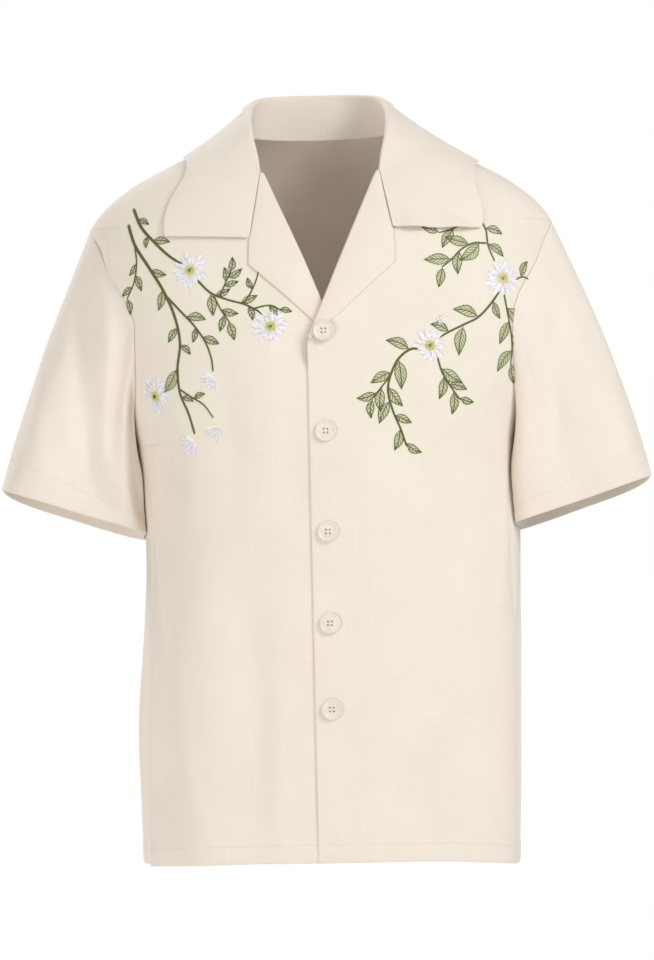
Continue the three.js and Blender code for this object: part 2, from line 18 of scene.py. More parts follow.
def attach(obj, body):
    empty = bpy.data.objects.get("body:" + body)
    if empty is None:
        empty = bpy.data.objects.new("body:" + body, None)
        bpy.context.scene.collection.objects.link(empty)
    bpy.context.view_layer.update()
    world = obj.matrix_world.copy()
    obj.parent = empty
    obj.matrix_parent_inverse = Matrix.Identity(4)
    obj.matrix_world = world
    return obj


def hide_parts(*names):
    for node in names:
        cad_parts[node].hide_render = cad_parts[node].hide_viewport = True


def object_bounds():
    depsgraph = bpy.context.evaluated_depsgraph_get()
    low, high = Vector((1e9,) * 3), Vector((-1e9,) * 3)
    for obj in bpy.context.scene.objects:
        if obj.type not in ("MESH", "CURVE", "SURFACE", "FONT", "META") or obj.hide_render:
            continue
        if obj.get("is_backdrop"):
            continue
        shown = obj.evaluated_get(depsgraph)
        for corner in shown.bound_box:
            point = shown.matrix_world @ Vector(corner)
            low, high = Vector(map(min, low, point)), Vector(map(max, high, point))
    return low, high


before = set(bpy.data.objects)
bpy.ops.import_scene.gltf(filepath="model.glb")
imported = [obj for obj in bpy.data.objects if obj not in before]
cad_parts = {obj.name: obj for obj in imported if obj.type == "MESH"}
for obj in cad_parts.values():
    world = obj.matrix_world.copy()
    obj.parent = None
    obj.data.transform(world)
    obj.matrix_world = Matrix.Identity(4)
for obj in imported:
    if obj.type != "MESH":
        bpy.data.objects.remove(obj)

Array = np.ndarray
Point = tuple[float, float]
log = logging.getLogger("shirt")

MM = 0.001
DEGREE = math.pi / 180


class Side(Enum):
    """The two sides of the shirt, by the wearer's own left and right."""

    LEFT = 1
    RIGHT = -1

    @property
    def word(self) -> str:
        """The side's name as the pieces spell it."""
        return self.name.lower()


class Slot(Enum):
    """Names of material slots."""

    CLOTH = "cloth"
    BUTTON = "button"


# ---------------------------------------------------------------- numbers


def smooth(value: Array | float) -> Array:
    """Ease from 0 to 1 as the value goes from 0 to 1."""
    held = np.clip(value, 0.0, 1.0)
    return held * held * (3 - 2 * held)


def lerp(start: Array | float, end: Array | float, part: Array | float) -> Array:
    """The number that lies a part of the way from start to end."""
    return start + (end - start) * part


def unit(vectors: Array) -> Array:
    """The same vectors at length 1."""
    return vectors / np.maximum(np.linalg.norm(vectors, axis=-1, keepdims=True), 1e-12)


def dot(first: Array, second: Array) -> Array:
    """Dot products along the last axis, which is kept."""
    return np.sum(first * second, axis=-1, keepdims=True)


def below(z: Array | float, top: float, fade: float) -> Array:
    """Ease from 0 at a height to 1 so far below it."""
    return smooth((top - z) / fade)


def lengths_along(path: Array) -> Array:
    """The length walked along a path up to each of its points."""
    return np.concatenate([[0], np.cumsum(np.linalg.norm(np.diff(path, axis=0), axis=-1))])


def axes(heading: float) -> tuple[Array, Array]:
    """Flat directions ahead and to the left, for a heading in degrees."""
    turn = heading * DEGREE
    ahead = np.array([math.cos(turn), math.sin(turn)])
    return ahead, np.array([-ahead[1], ahead[0]])


class Curve:
    """A smooth curve through a table's rows that never overshoots them."""

    def __init__(self, x: Sequence[float], y: Sequence[float]) -> None:
        """Take the rows.

        Args:
            x: rising places.
            y: the value at each place.
        """
        self.x = np.asarray(x, float)
        self.y = np.asarray(y, float)
        rise = np.diff(self.y) / np.diff(self.x)
        inside = np.zeros(len(self.x))
        product = rise[:-1] * rise[1:]
        total = np.where(product > 0, rise[:-1] + rise[1:], 1.0)
        inside[1:-1] = np.where(product > 0, 2 * product / total, 0.0)
        inside[0], inside[-1] = rise[0], rise[-1]
        self.slope = inside

    def __call__(self, at: Array | float) -> Array:
        """The curve's value at each place, held at its ends."""
        t = np.clip(at, self.x[0], self.x[-1])
        i = np.clip(np.searchsorted(self.x, t, side="left") - 1, 0, len(self.x) - 2)
        step = self.x[i + 1] - self.x[i]
        s = (t - self.x[i]) / step
        low = self.y[i] * (1 + 2 * s) + self.slope[i] * step * s
        high = self.y[i + 1] * (3 - 2 * s) - self.slope[i + 1] * step * (1 - s)
        return low * (1 - s) ** 2 + high * s**2


def spread(*stops: tuple[float, float]) -> Array:
    """Rising or falling numbers through some stops.

    Args:
        stops: pairs of a stop and the largest step on the way to the next one.

    Returns:
        All the numbers, each stop among them.
    """
    values = [stops[0][0]]
    for (start, step), (end, _) in zip(stops, stops[1:]):
        count = max(1, math.ceil(abs(end - start) / step))
        values.extend(lerp(start, end, k / count) for k in range(1, count + 1))
    return np.array(values)


# ---------------------------------------------------------------- shader maths


class Value:
    """A number or colour on its way through a material, with the operators of ordinary maths."""

    def __init__(self, nodes: "Nodes", socket: bpy.types.NodeSocket) -> None:
        """Wrap a socket of a material's node tree."""
        self.nodes = nodes
        self.socket = socket

    def _math(self, operation: str, *values: "Value | float") -> "Value":
        """A Math node on the values."""
        node = self.nodes.node("ShaderNodeMath", {"operation": operation}, dict(enumerate(values)))
        return Value(self.nodes, node.outputs[0])

    def __add__(self, other: "Value | float") -> "Value":
        """Sum."""
        return self._math("ADD", self, other)

    def __mul__(self, other: "Value | float") -> "Value":
        """Product."""
        return self._math("MULTIPLY", self, other)

    def __sub__(self, other: "Value | float") -> "Value":
        """Difference."""
        return self._math("SUBTRACT", self, other)

    def sine(self) -> "Value":
        """Sine, of an angle in radians."""
        return self._math("SINE", self)

    def eased(self, low: float, high: float) -> "Value":
        """0 below low, 1 above high and smooth between."""
        settings = {"interpolation_type": "SMOOTHSTEP"}
        node = self.nodes.node("ShaderNodeMapRange", settings, {0: self, 1: low, 2: high})
        return Value(self.nodes, node.outputs[0])


class Nodes:
    """A material's node tree, and the one way in which its nodes are made."""

    def __init__(self, name: str) -> None:
        """Start an empty material.

        Args:
            name: the material's name.
        """
        self.material = bpy.data.materials.new(name)
        self.material.use_nodes = True
        self.tree = self.material.node_tree
        self.tree.nodes.clear()

    def node(self, kind: str, settings: dict | None = None, inputs: dict | None = None) -> bpy.types.Node:
        """Make a node.

        Args:
            kind: Blender's name of the node type.
            settings: attributes, set first.
            inputs: values or links, by the socket's name or number.

        Returns:
            The node.
        """
        node = self.tree.nodes.new(kind)
        for name, value in (settings or {}).items():
            setattr(node, name, value)
        for name, value in (inputs or {}).items():
            if isinstance(value, Value):
                self.tree.links.new(value.socket, node.inputs[name])
            else:
                node.inputs[name].default_value = value
        return node

    def value(self, kind: str, settings: dict | None = None, inputs: dict | None = None,
              out: int | str = 0) -> Value:
        """Make a node and give one of its outputs as a value."""
        return Value(self, self.node(kind, settings, inputs).outputs[out])

    def mix(self, part: Value | float, first: Value | tuple, second: Value | tuple) -> Value:
        """A colour that lies a part of the way from the first to the second."""
        ends = {}
        for number, colour in ((6, first), (7, second)):
            ends[number] = colour if isinstance(colour, Value) else (*colour, 1)
        return self.value("ShaderNodeMix", {"data_type": "RGBA"}, {0: part, **ends}, 2)

    def uv(self, stretch: tuple[float, float, float], turn: float = 0) -> Value:
        """The mesh's UV place, stretched by so much a metre and turned by so many degrees."""
        place = self.value("ShaderNodeUVMap", {"uv_map": MeshParts.UV_NAME})
        settings = {"vector_type": "POINT"}
        inputs = {"Vector": place, "Rotation": (0, 0, turn * DEGREE), "Scale": stretch}
        return self.value("ShaderNodeMapping", settings, inputs)

    def noise(self, place: Value, scale: float, detail: float = 2) -> Value:
        """Soft noise round a half at a place."""
        return self.value("ShaderNodeTexNoise", None, {"Vector": place, "Scale": scale, "Detail": detail})

    def finish(self, inputs: dict, height: Value | None = None, depth: float = 0) -> bpy.types.Material:
        """Close the material with its surface.

        Args:
            inputs: the surface's values or links.
            height: relief from 0 to 1.
            depth: what 1 of it stands for, in metres.

        Returns:
            The material.
        """
        if height is not None:
            bump = self.value("ShaderNodeBump", None, {"Strength": 1.0, "Distance": depth, "Height": height})
            inputs = {**inputs, "Normal": bump}
        shader = self.node("ShaderNodeBsdfPrincipled", None, inputs)
        out = self.node("ShaderNodeOutputMaterial")
        self.tree.links.new(shader.outputs[0], out.inputs[0])
        return self.material


Colour = tuple[float, float, float]


@dataclass(frozen=True)
class ClothFinish:
    """Matt cream cloth in a plain weave with soft slubs."""

    name: str = "cream_cloth"
    light: Colour = (0.915, 0.838, 0.742)
    dark: Colour = (0.872, 0.78, 0.677)
    wash: Colour = (0.84, 0.85, 0.64)
    threads: float = 1500
    relief: float = 0.0001
    roughness: float = 0.86
    sheen: float = 0.25

    def material(self) -> bpy.types.Material:
        """Build the weave, its slubs and the faint green wash round the embroidery."""
        nodes = Nodes(self.name)
        plain = nodes.uv((1, 1, 1))
        warp = nodes.noise(nodes.uv((900, 26, 1)), 1, 3)
        weft = nodes.noise(nodes.uv((26, 900, 1)), 1, 3)
        cloud = nodes.noise(plain, 14, 3)
        apart = nodes.node("ShaderNodeSeparateXYZ", None, {0: plain})
        across, along = (Value(nodes, apart.outputs[i]) for i in (0, 1))
        turns = self.threads * math.pi
        weave = (across * turns).sine() * (along * turns).sine()
        slub = warp + weft - 1.0
        tone = (cloud * 0.7 + slub * 0.6 + 0.15).eased(0.2, 0.85)
        colour = nodes.mix(tone, self.dark, self.light)
        wash = nodes.value("ShaderNodeAttribute", {"attribute_name": MeshParts.WASH_NAME}, None, "Fac")
        colour = nodes.mix(wash, colour, self.wash)
        rough = cloud * 0.1 + (self.roughness - 0.05)
        height = weave * 0.25 + slub * 0.8 + 0.5
        inputs = {
            "Base Color": colour, "Roughness": rough, "Sheen Weight": self.sheen,
            "Sheen Roughness": 0.45, "Specular IOR Level": 0.25,
        }
        return nodes.finish(inputs, height, self.relief)


@dataclass(frozen=True)
class ThreadFinish:
    """Lustrous embroidery or sewing thread, laid in rows along V."""

    name: str
    light: Colour
    dark: Colour
    rows: float = 2300
    hatch: float = 0.35
    relief: float = 0.00012
    roughness: float = 0.5
    sheen: float = 0.15

    def material(self) -> bpy.types.Material:
        """Build the rows of thread with their uneven tone."""
        nodes = Nodes(self.name)
        place = nodes.uv((1, 1, 1))
        apart = nodes.node("ShaderNodeSeparateXYZ", None, {0: place})
        across = Value(nodes, apart.outputs[1])
        strand = (across * (self.rows * math.pi)).sine() * 0.5 + 0.5
        drift = nodes.noise(nodes.uv((260, 1500, 1)), 1, 2)
        tone = (strand * self.hatch + drift * 0.9 - 0.1).eased(0.1, 0.8)
        colour = nodes.mix(tone, self.dark, self.light)
        rough = drift * 0.2 + (self.roughness - 0.1)
        inputs = {"Base Color": colour, "Roughness": rough, "Sheen Weight": self.sheen, "Sheen Roughness": 0.4}
        return nodes.finish(inputs, strand * 0.7 + drift * 0.5, self.relief)


@dataclass(frozen=True)
class ResinFinish:
    """Satin cream resin of the buttons, faintly clouded."""

    name: str = "cream_resin"
    light: Colour = (0.90, 0.82, 0.72)
    dark: Colour = (0.83, 0.74, 0.63)
    roughness: float = 0.34

    def material(self) -> bpy.types.Material:
        """Build the clouded resin with its fine turning marks."""
        nodes = Nodes(self.name)
        place = nodes.value("ShaderNodeTexCoord", None, None, "Object")
        cloud = nodes.noise(place, 90, 4)
        fine = nodes.noise(place, 900, 2)
        colour = nodes.mix(cloud.eased(0.3, 0.7), self.dark, self.light)
        rough = cloud * 0.12 + (self.roughness - 0.06)
        inputs = {"Base Color": colour, "Roughness": rough, "Coat Weight": 0.12, "Coat Roughness": 0.25}
        return nodes.finish(inputs, fine, 0.00003)


@dataclass(frozen=True)
class PlainFinish:
    """Matt paint for the floor."""

    name: str
    colour: Colour
    roughness: float = 0.9

    def material(self) -> bpy.types.Material:
        """Build the paint."""
        nodes = Nodes(self.name)
        return nodes.finish({"Base Color": (*self.colour, 1), "Roughness": self.roughness})


class Finishes:
    """Every finish of the shirt, each made once."""

    CLOTH = ClothFinish()
    RESIN = ResinFinish()
    SEWING = ThreadFinish("cream_thread", (0.88, 0.78, 0.66), (0.76, 0.65, 0.52))
    STEM = ThreadFinish("stem_thread", (0.17, 0.15, 0.04), (0.06, 0.055, 0.018), 1800, sheen=0.05)
    LEAF = ThreadFinish("leaf_thread", (0.72, 0.73, 0.45), (0.28, 0.33, 0.13), 1050, 0.6)
    VEIN = ThreadFinish("vein_thread", (0.12, 0.12, 0.04), (0.055, 0.06, 0.02), 1800, sheen=0.05)
    PETAL = ThreadFinish("petal_thread", (0.985, 0.97, 0.975), (0.88, 0.85, 0.88))
    LINE = ThreadFinish("petal_line_thread", (0.70, 0.66, 0.72), (0.50, 0.47, 0.53), 1800)
    HEART = ThreadFinish("heart_thread", (0.90, 0.86, 0.09), (0.68, 0.68, 0.045), sheen=0.0)
    EYE = ThreadFinish("eye_thread", (0.03, 0.04, 0.006), (0.015, 0.02, 0.003), sheen=0.0)

    def __init__(self) -> None:
        """Start with nothing made."""
        self._made: dict[str, bpy.types.Material] = {}

    def __call__(self, finish: ClothFinish | ThreadFinish | ResinFinish | PlainFinish) -> bpy.types.Material:
        """The finish's material, made on first use."""
        if finish.name not in self._made:
            self._made[finish.name] = finish.material()
        return self._made[finish.name]


# ---------------------------------------------------------------- meshes


def grid_normals(grid: Array, ring: bool = False) -> Array:
    """Directions out of a grid's visible side, where (next in row) x (next row) points.

    Args:
        grid: points, as rows x columns x 3.
        ring: whether each row closes on itself.

    Returns:
        A unit vector for each point.
    """
    if ring:
        along = np.roll(grid, -1, axis=1) - np.roll(grid, 1, axis=1)
    else:
        along = np.gradient(grid, axis=1)
    up = np.gradient(grid, axis=0)
    return unit(np.cross(along, up))


def grid_lengths(grid: Array, ring: bool = False) -> Array:
    """Lengths walked along the rows and along the columns of a grid, as a UV pair for each point.

    Args:
        grid: points, as rows x columns x 3.
        ring: whether each row closes on itself, which makes its lengths run up and down again.

    Returns:
        The pairs, in millimetres.
    """
    u = np.zeros(grid.shape[:2])
    v = np.zeros(grid.shape[:2])
    u[:, 1:] = np.cumsum(np.linalg.norm(np.diff(grid, axis=1), axis=-1), axis=1)
    v[1:, :] = np.cumsum(np.linalg.norm(np.diff(grid, axis=0), axis=-1), axis=0)
    v[:] = v.mean(axis=1, keepdims=True)
    if ring:
        last = u[:, -1:] + np.linalg.norm(grid[:, :1] - grid[:, -1:], axis=-1)
        u = np.minimum(u, last - u)
    else:
        u -= u.mean(axis=1, keepdims=True)
    return np.stack([u, v], axis=-1)


def grid_faces(rows: int, columns: int, ring: bool, start: int = 0, flip: bool = False) -> Array:
    """Four-sided faces of a grid of points.

    Args:
        rows: number of rows.
        columns: number of columns.
        ring: whether each row closes on itself.
        start: number of the grid's first point.
        flip: whether the faces look the other way.

    Returns:
        One row of four point numbers for each face.
    """
    numbers = start + np.arange(rows * columns).reshape(rows, columns)
    following = np.roll(numbers, -1, axis=1) if ring else numbers[:, 1:]
    first = numbers if ring else numbers[:, :-1]
    corners = [first[:-1], following[:-1], following[1:], first[1:]]
    if flip:
        corners.reverse()
    return np.stack(corners, axis=-1).reshape(-1, 4)


def linked(name: str, data: bpy.types.ID) -> bpy.types.Object:
    """An object with its data, linked to the scene."""
    piece = bpy.data.objects.new(name, data)
    bpy.context.scene.collection.objects.link(piece)
    return piece


class MeshParts:
    """Points, faces, UVs and finishes of one object, gathered part by part, in millimetres."""

    UV_NAME = "weave"
    WASH_NAME = "wash"

    def __init__(self) -> None:
        """Start with nothing gathered."""
        self.points: list[Array] = []
        self.faces: list[list[int]] = []
        self.uv: list[Array] = []
        self.wash: list[Array] = []
        self.slots: list[int] = []
        self.count = 0

    def add(self, points: Array, faces: Iterable[Sequence[int]], uv: Array, slot: int = 0,
            wash: Array | None = None) -> None:
        """Gather one part.

        Args:
            points: its points.
            faces: its faces, as numbers of its own points.
            uv: a UV pair in millimetres for each point.
            slot: which of the object's finishes it has.
            wash: strength of the wash at each point.
        """
        faces = faces.tolist() if isinstance(faces, np.ndarray) else faces
        self.points.append(points)
        self.faces.extend([self.count + k for k in face] for face in faces)
        self.uv.append(uv)
        self.wash.append(np.zeros(len(points)) if wash is None else wash)
        self.slots.extend([slot] * len(faces))
        self.count += len(points)

    def shell(self, grid: Array, thick: float, ring: bool = False, slot: int = 0,
              wash: Array | None = None, uv: Array | None = None) -> None:
        """Gather a closed shell with rounded edges on a grid of points on its visible side.

        Args:
            grid: points, as rows x columns x 3.
            thick: the shell's thickness.
            ring: whether each row closes on itself.
            slot: which of the object's finishes it has.
            wash: strength of the wash at each point of the grid.
            uv: UV pairs of the grid, where they aren't its own lengths.
        """
        rows, columns = grid.shape[:2]
        inner = grid - grid_normals(grid, ring) * thick
        uv = grid_lengths(grid, ring) if uv is None else uv
        wash = np.zeros((rows, columns)) if wash is None else wash
        total = rows * columns
        points = [grid.reshape(-1, 3), inner.reshape(-1, 3)]
        uvs = [uv.reshape(-1, 2)] * 2
        washes = [wash.reshape(-1), wash.reshape(-1) * 0]
        faces = [grid_faces(rows, columns, ring), grid_faces(rows, columns, ring, total, True)]
        count = 2 * total
        number = np.arange(total).reshape(rows, columns)
        edges = [(number[0], grid[0] - grid[1], True), (number[-1], grid[-1] - grid[-2], False)]
        if not ring:
            edges.append((number[:, 0], grid[:, 0] - grid[:, 1], False))
            edges.append((number[:, -1], grid[:, -1] - grid[:, -2], True))
        for border, outward, turned in edges:
            top = points[0][border]
            low = points[1][border]
            middle = (top + low) / 2 + unit(outward) * thick * 0.4
            points.append(middle)
            uvs.append(uvs[0][border])
            washes.append(washes[1][border])
            middle_number = np.arange(count, count + len(border))
            count += len(border)
            for above, below in ((border, middle_number), (middle_number, border + total)):
                strip = np.stack([above, below])
                closed = ring and len(border) == columns
                faces.append(self._strip(strip, closed, turned))
        self.add(np.concatenate(points), np.concatenate(faces), np.concatenate(uvs), slot,
                 np.concatenate(washes))

    @staticmethod
    def _strip(numbers: Array, ring: bool, turned: bool) -> Array:
        """Faces between two rows of point numbers."""
        following = np.roll(numbers, -1, axis=1) if ring else numbers[:, 1:]
        first = numbers if ring else numbers[:, :-1]
        corners = [first[0], following[0], following[1], first[1]]
        if turned:
            corners.reverse()
        return np.stack(corners[::-1], axis=-1)

    def tube(self, path: Array, out: Array, width: Array | float, height: Array | float,
             slot: int = 0, sides: int = 6) -> None:
        """Gather a closed thread that follows a path and tapers to its ends.

        Args:
            path: points along its middle.
            out: direction of its height at each point.
            width: its full width, one number or one for each point.
            height: its full height likewise.
            slot: which of the object's finishes it has.
            sides: points round it.
        """
        count = len(path)
        ahead = unit(np.gradient(path, axis=0))
        across = unit(np.cross(out, ahead))
        upward = unit(np.cross(ahead, across))
        share = np.linspace(0, 1, count)
        taper = np.clip(np.minimum(share, 1 - share) * count / 1.6, 0.25, 1)
        turn = np.linspace(0, 2 * math.pi, sides, endpoint=False)
        width = (np.zeros(count) + width) * taper / 2
        height = (np.zeros(count) + height) * taper / 2
        rings = (path[:, None] + across[:, None] * (np.cos(turn)[None, :, None] * width[:, None, None])
                 + upward[:, None] * (np.sin(turn)[None, :, None] * height[:, None, None]))
        walked = lengths_along(path)
        along = walked[:, None]
        uv = np.stack(np.broadcast_arrays(along * 0.3, along * 0.8 + turn[None] * 0.2), axis=-1)
        faces = grid_faces(count, sides, True).tolist()
        faces.append(list(range(sides))[::-1])
        faces.append(list(range((count - 1) * sides, count * sides)))
        self.add(rings.reshape(-1, 3), faces, uv.reshape(-1, 2), slot)

    def object(self, name: str, materials: Sequence[bpy.types.Material],
               sharp: float = 50) -> bpy.types.Object:
        """Make the object.

        Args:
            name: its name.
            materials: its finishes, by slot number.
            sharp: edges that bend by more degrees than this stay sharp.

        Returns:
            The object, linked to the scene.
        """
        mesh = bpy.data.meshes.new(name)
        points = np.concatenate(self.points) * MM
        mesh.from_pydata(points.tolist(), [], self.faces)
        uv = np.concatenate(self.uv) * MM
        corner = np.empty(len(mesh.loops), int)
        mesh.loops.foreach_get("vertex_index", corner)
        layer = mesh.uv_layers.new(name=self.UV_NAME)
        layer.data.foreach_set("uv", uv[corner].reshape(-1))
        wash = np.concatenate(self.wash)
        if wash.any():
            mesh.attributes.new(self.WASH_NAME, "FLOAT", "POINT").data.foreach_set("value", wash)
        for material in materials:
            mesh.materials.append(material)
        mesh.polygons.foreach_set("material_index", self.slots)
        mesh.shade_smooth()
        mesh.set_sharp_from_angle(angle=sharp * DEGREE)
        mesh.validate()
        return linked(name, mesh)


def report(piece: bpy.types.Object) -> None:
    """Log a piece with its number of faces."""
    log.info("%s: %d faces", piece.name, len(piece.data.polygons))


def dress(parts: MeshParts, name: str, materials: Sequence[bpy.types.Material]) -> None:
    """Make an object of thread and join it to the frame."""
    piece = parts.object(name, materials)
    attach(piece, "root")
    report(piece)


# ---------------------------------------------------------------- the body's form


@dataclass(frozen=True)
class Crease:
    """One soft trough or ridge, between two places, each an angle in degrees and a height."""

    start: Point
    end: Point
    width: float
    depth: float
    bow: float = 0

    def height(self, across: Array, up: Array) -> Array:
        """How far it moves the cloth out at places given in millimetres round and up."""
        ahead = np.subtract(self.end, self.start) * (BodyForm.MM_PER_DEGREE, 1)
        length = np.hypot(*ahead)
        ahead = ahead / length
        x = across - self.start[0] * BodyForm.MM_PER_DEGREE
        z = up - self.start[1]
        part = (x * ahead[0] + z * ahead[1]) / length
        off = x * ahead[1] - z * ahead[0] - self.bow * np.sin(math.pi * np.clip(part, 0, 1))
        ends = smooth(part / 0.3 + 0.15) * smooth((1 - part) / 0.4 + 0.15)
        return self.depth * ends * np.exp(-((off / self.width) ** 2))


# Creases of the body: (angle, height) to (angle, height), width, depth outward, bow.
BODY_CREASES = (
    # wearer's right front
    Crease((-68, -92), (-59, -172), 9, -3.0, 3),
    Crease((-60, -96), (-52, -170), 9, 1.6, 3),
    Crease((-57, -330), (-55, -980), 27, 3.5),
    Crease((-66, -330), (-52, -520), 7, 2.2, 4),
    Crease((-71, -300), (-63, -600), 6, -2.4, -3),
    Crease((-48, -470), (-40, -690), 9, 1.4, 4),
    Crease((-28, -420), (-22, -640), 12, -1.5, -5),
    Crease((-14, -520), (-17, -695), 9, 1.2, 3),
    Crease((-75, -430), (-48, -560), 9, 1.3, 6),
    Crease((-60, -250), (-34, -330), 12, 1.0, -6),
    Crease((-8, -250), (-10, -420), 10, -0.9, 3),
    Crease((-55, -215), (-51, -420), 10, -2.0, 4),
    Crease((-44, -235), (-43, -400), 11, 1.4, -3),
    Crease((-27, -205), (-31, -400), 12, -1.7, -4),
    # wearer's left front
    Crease((67, -98), (60, -176), 8, -1.6, -3),
    Crease((58, -360), (56, -980), 27, 4.0),
    Crease((63, -320), (52, -500), 8, 2.0, -5),
    Crease((70, -310), (64, -560), 6, -2.2, 4),
    Crease((28, -380), (36, -560), 11, -1.5, 6),
    Crease((30, -600), (34, -695), 8, -1.6, -3),
    Crease((22, -560), (24, -696), 8, 1.3, 3),
    Crease((45, -500), (50, -690), 9, 1.3, -4),
    Crease((74, -420), (50, -520), 9, 1.1, -6),
    Crease((10, -230), (14, -400), 12, 0.8, -4),
    Crease((52, -240), (30, -320), 12, 0.9, 5),
    # back
    Crease((112, -250), (126, -420), 9, 2.6, 5),
    Crease((122, -240), (140, -380), 10, -2.8, -6),
    Crease((160, -200), (166, -420), 13, 2.2, 5),
    Crease((172, -330), (170, -640), 11, -2.6, -5),
    Crease((186, -260), (190, -520), 12, 2.4, 4),
    Crease((200, -220), (192, -430), 12, -2.2, -5),
    Crease((246, -240), (232, -410), 9, 2.7, -5),
    Crease((236, -260), (222, -400), 10, -2.9, 6),
    Crease((98, -400), (110, -620), 9, -3.0, 4),
    Crease((86, -430), (92, -680), 8, 2.0, -3),
    Crease((262, -420), (252, -650), 9, -2.8, -4),
    Crease((148, -480), (150, -690), 10, 2.2, 3),
    Crease((212, -500), (208, -690), 10, 2.3, -3),
    Crease((136, -130), (150, -260), 12, -1.8, 5),
    Crease((226, -140), (214, -280), 12, -1.6, -4),
)


@dataclass
class BodyForm:
    """The surface that the fronts and the back lie on, in worn shape."""

    hem: float = -699
    underarm: float = -300
    shoulder_tip: float = -85
    neck_top: float = 8
    front_top: float = 6
    squareness: float = 2.3
    sway: float = 5
    sway_top: float = -290
    sway_fade: float = 110
    flare: float = 14
    flare_top: float = -400
    flare_fade: float = 200
    dip_left: float = 12
    dip_right: float = 5
    dip_back: float = 3
    dip_top: float = -540
    dip_fade: float = 150
    overlap: float = 15.5
    break_height: float = -206
    gorge: Point = (57, -37)
    underlap_drop: float = 2
    crossing_drop: float = 6.6
    creases: Sequence[Crease] = BODY_CREASES

    MM_PER_DEGREE = 2.8

    # height, half width, depth to the front, depth to the back
    SECTIONS = (
        (-699, 176.5, 133, 123), (-600, 179.5, 132, 119), (-450, 183, 133, 118), (-360, 183.5, 135, 118.5),
        (-330, 184, 135.5, 119), (-300, 187, 136, 120), (-270, 195, 135.5, 121), (-239, 206, 134, 122),
        (-186, 222, 129, 121), (-128, 231, 118, 116), (-100, 230.5, 110, 111.5), (-85, 226.5, 104.5, 108),
        (-66, 213, 96.5, 103), (-52, 197, 90.5, 98.5), (-39, 178, 84, 93.5), (-22, 144.5, 74, 85),
        (-5, 105, 62, 73), (8, 72, 50, 62),
    )
    # height, distance of the armhole seam from the centre line in front and behind
    ARMHOLE = (
        (-300, 187, 187), (-239, 182.5, 190), (-186, 182, 198), (-162, 188.5, 205), (-128, 207.5, 215),
        (-100, 219.5, 223), (-85, 226.5, 226.5),
    )
    NECKLINE = ((57, -37), (58.7, -23), (62, -8), (68, 3), (72, 8))
    # angle, drift, width, depth, top
    FOLDS = (
        (16, -4, 7, 3, -330), (34, 6, 8, -4, -240), (58, 4, 9, 5, -330), (84, -3, 8, -6, -380),
        (108, 2, 9, 5, -360), (132, 3, 9, -7, -250), (156, -2, 10, 5, -280), (179, 0, 12, -5, -240),
        (-20, -6, 8, -3, -300), (-40, -3, 9, 4, -260), (-62, -2, 6, 7, -430), (-80, 2, 9, -8, -400),
        (-106, 3, 9, 5, -370), (-130, -4, 10, -6, -260), (-155, 2, 9, 5, -300),
    )
    FOLD_BOTTOM = -760
    FOLD_FADE = 2.2
    UNEVEN_TOP = -190
    UNEVEN_FADE = 120

    def __post_init__(self) -> None:
        """Draw the curves through the tables."""
        z, half, front, back = zip(*self.SECTIONS)
        self.half = Curve(z, half)
        self.front_depth = Curve(z, front)
        self.back_depth = Curve(z, back)
        z, front, back = zip(*self.ARMHOLE)
        self.armhole_front = Curve(z, front)
        self.armhole_back = Curve(z, back)
        x, z = zip(*self.NECKLINE)
        self.neckline = Curve(z, x)

    def sway_at(self, z: Array) -> Array:
        """How far the trunk's sides stand to the wearer's left at a height."""
        return self.sway * below(z, self.sway_top, self.sway_fade)

    def dip(self, across: Array, forward: Array) -> Array:
        """How far the hem dips in a direction."""
        side = np.where(across > 0, self.dip_left, self.dip_right)
        return side * np.abs(across) ** 3 + self.dip_back * np.maximum(0, -forward) ** 2

    def plain(self, angle: Array, z: Array) -> Array:
        """Points of the form without folds, at angles from the centre front (+ to the left)."""
        angle, z = np.broadcast_arrays(np.asarray(angle, float), np.asarray(z, float))
        across, forward = np.sin(angle), np.cos(angle)
        power = self.squareness
        size = (np.abs(across) ** power + np.abs(forward) ** power) ** (-1 / power)
        depth = np.where(forward > 0, self.front_depth(z), self.back_depth(z))
        flare = np.where(across < 0, self.flare * below(z, self.flare_top, self.flare_fade), 0)
        x = self.half(z) * across * size + (self.sway_at(z) - flare) * across**2
        low = z - self.dip(across, forward) * below(z, self.dip_top, self.dip_fade)
        return np.stack([x, -depth * forward * size, low], axis=-1)

    def across(self, angle: Array) -> Array:
        """Millimetres round the form from the centre front, as the creases and the relief count them."""
        return angle / DEGREE * self.MM_PER_DEGREE

    def normal(self, angle: Array, z: Array) -> Array:
        """Outward directions of the form."""
        step = 1e-3
        z = np.asarray(z, float)
        around = self.plain(angle + step, z) - self.plain(angle - step, z)
        up = self.plain(angle, z + 0.5) - self.plain(angle, z - 0.5)
        return unit(np.cross(around, up))

    def folds(self, angle: Array, z: Array) -> Array:
        """How far the long folds, the creases and the cloth's own unevenness move it out."""
        degrees = angle / DEGREE
        total = np.zeros(np.broadcast(angle, z).shape)
        for at, drift, width, depth, top in self.FOLDS:
            down = np.clip((top - z) / (top - self.FOLD_BOTTOM), 0, 1)
            off = degrees - at - drift * down
            off = off - 360 * np.round(off / 360)
            total = total + depth * smooth(down * self.FOLD_FADE) * np.exp(-((off / width) ** 2))
        return total + self.small_folds(degrees, z)

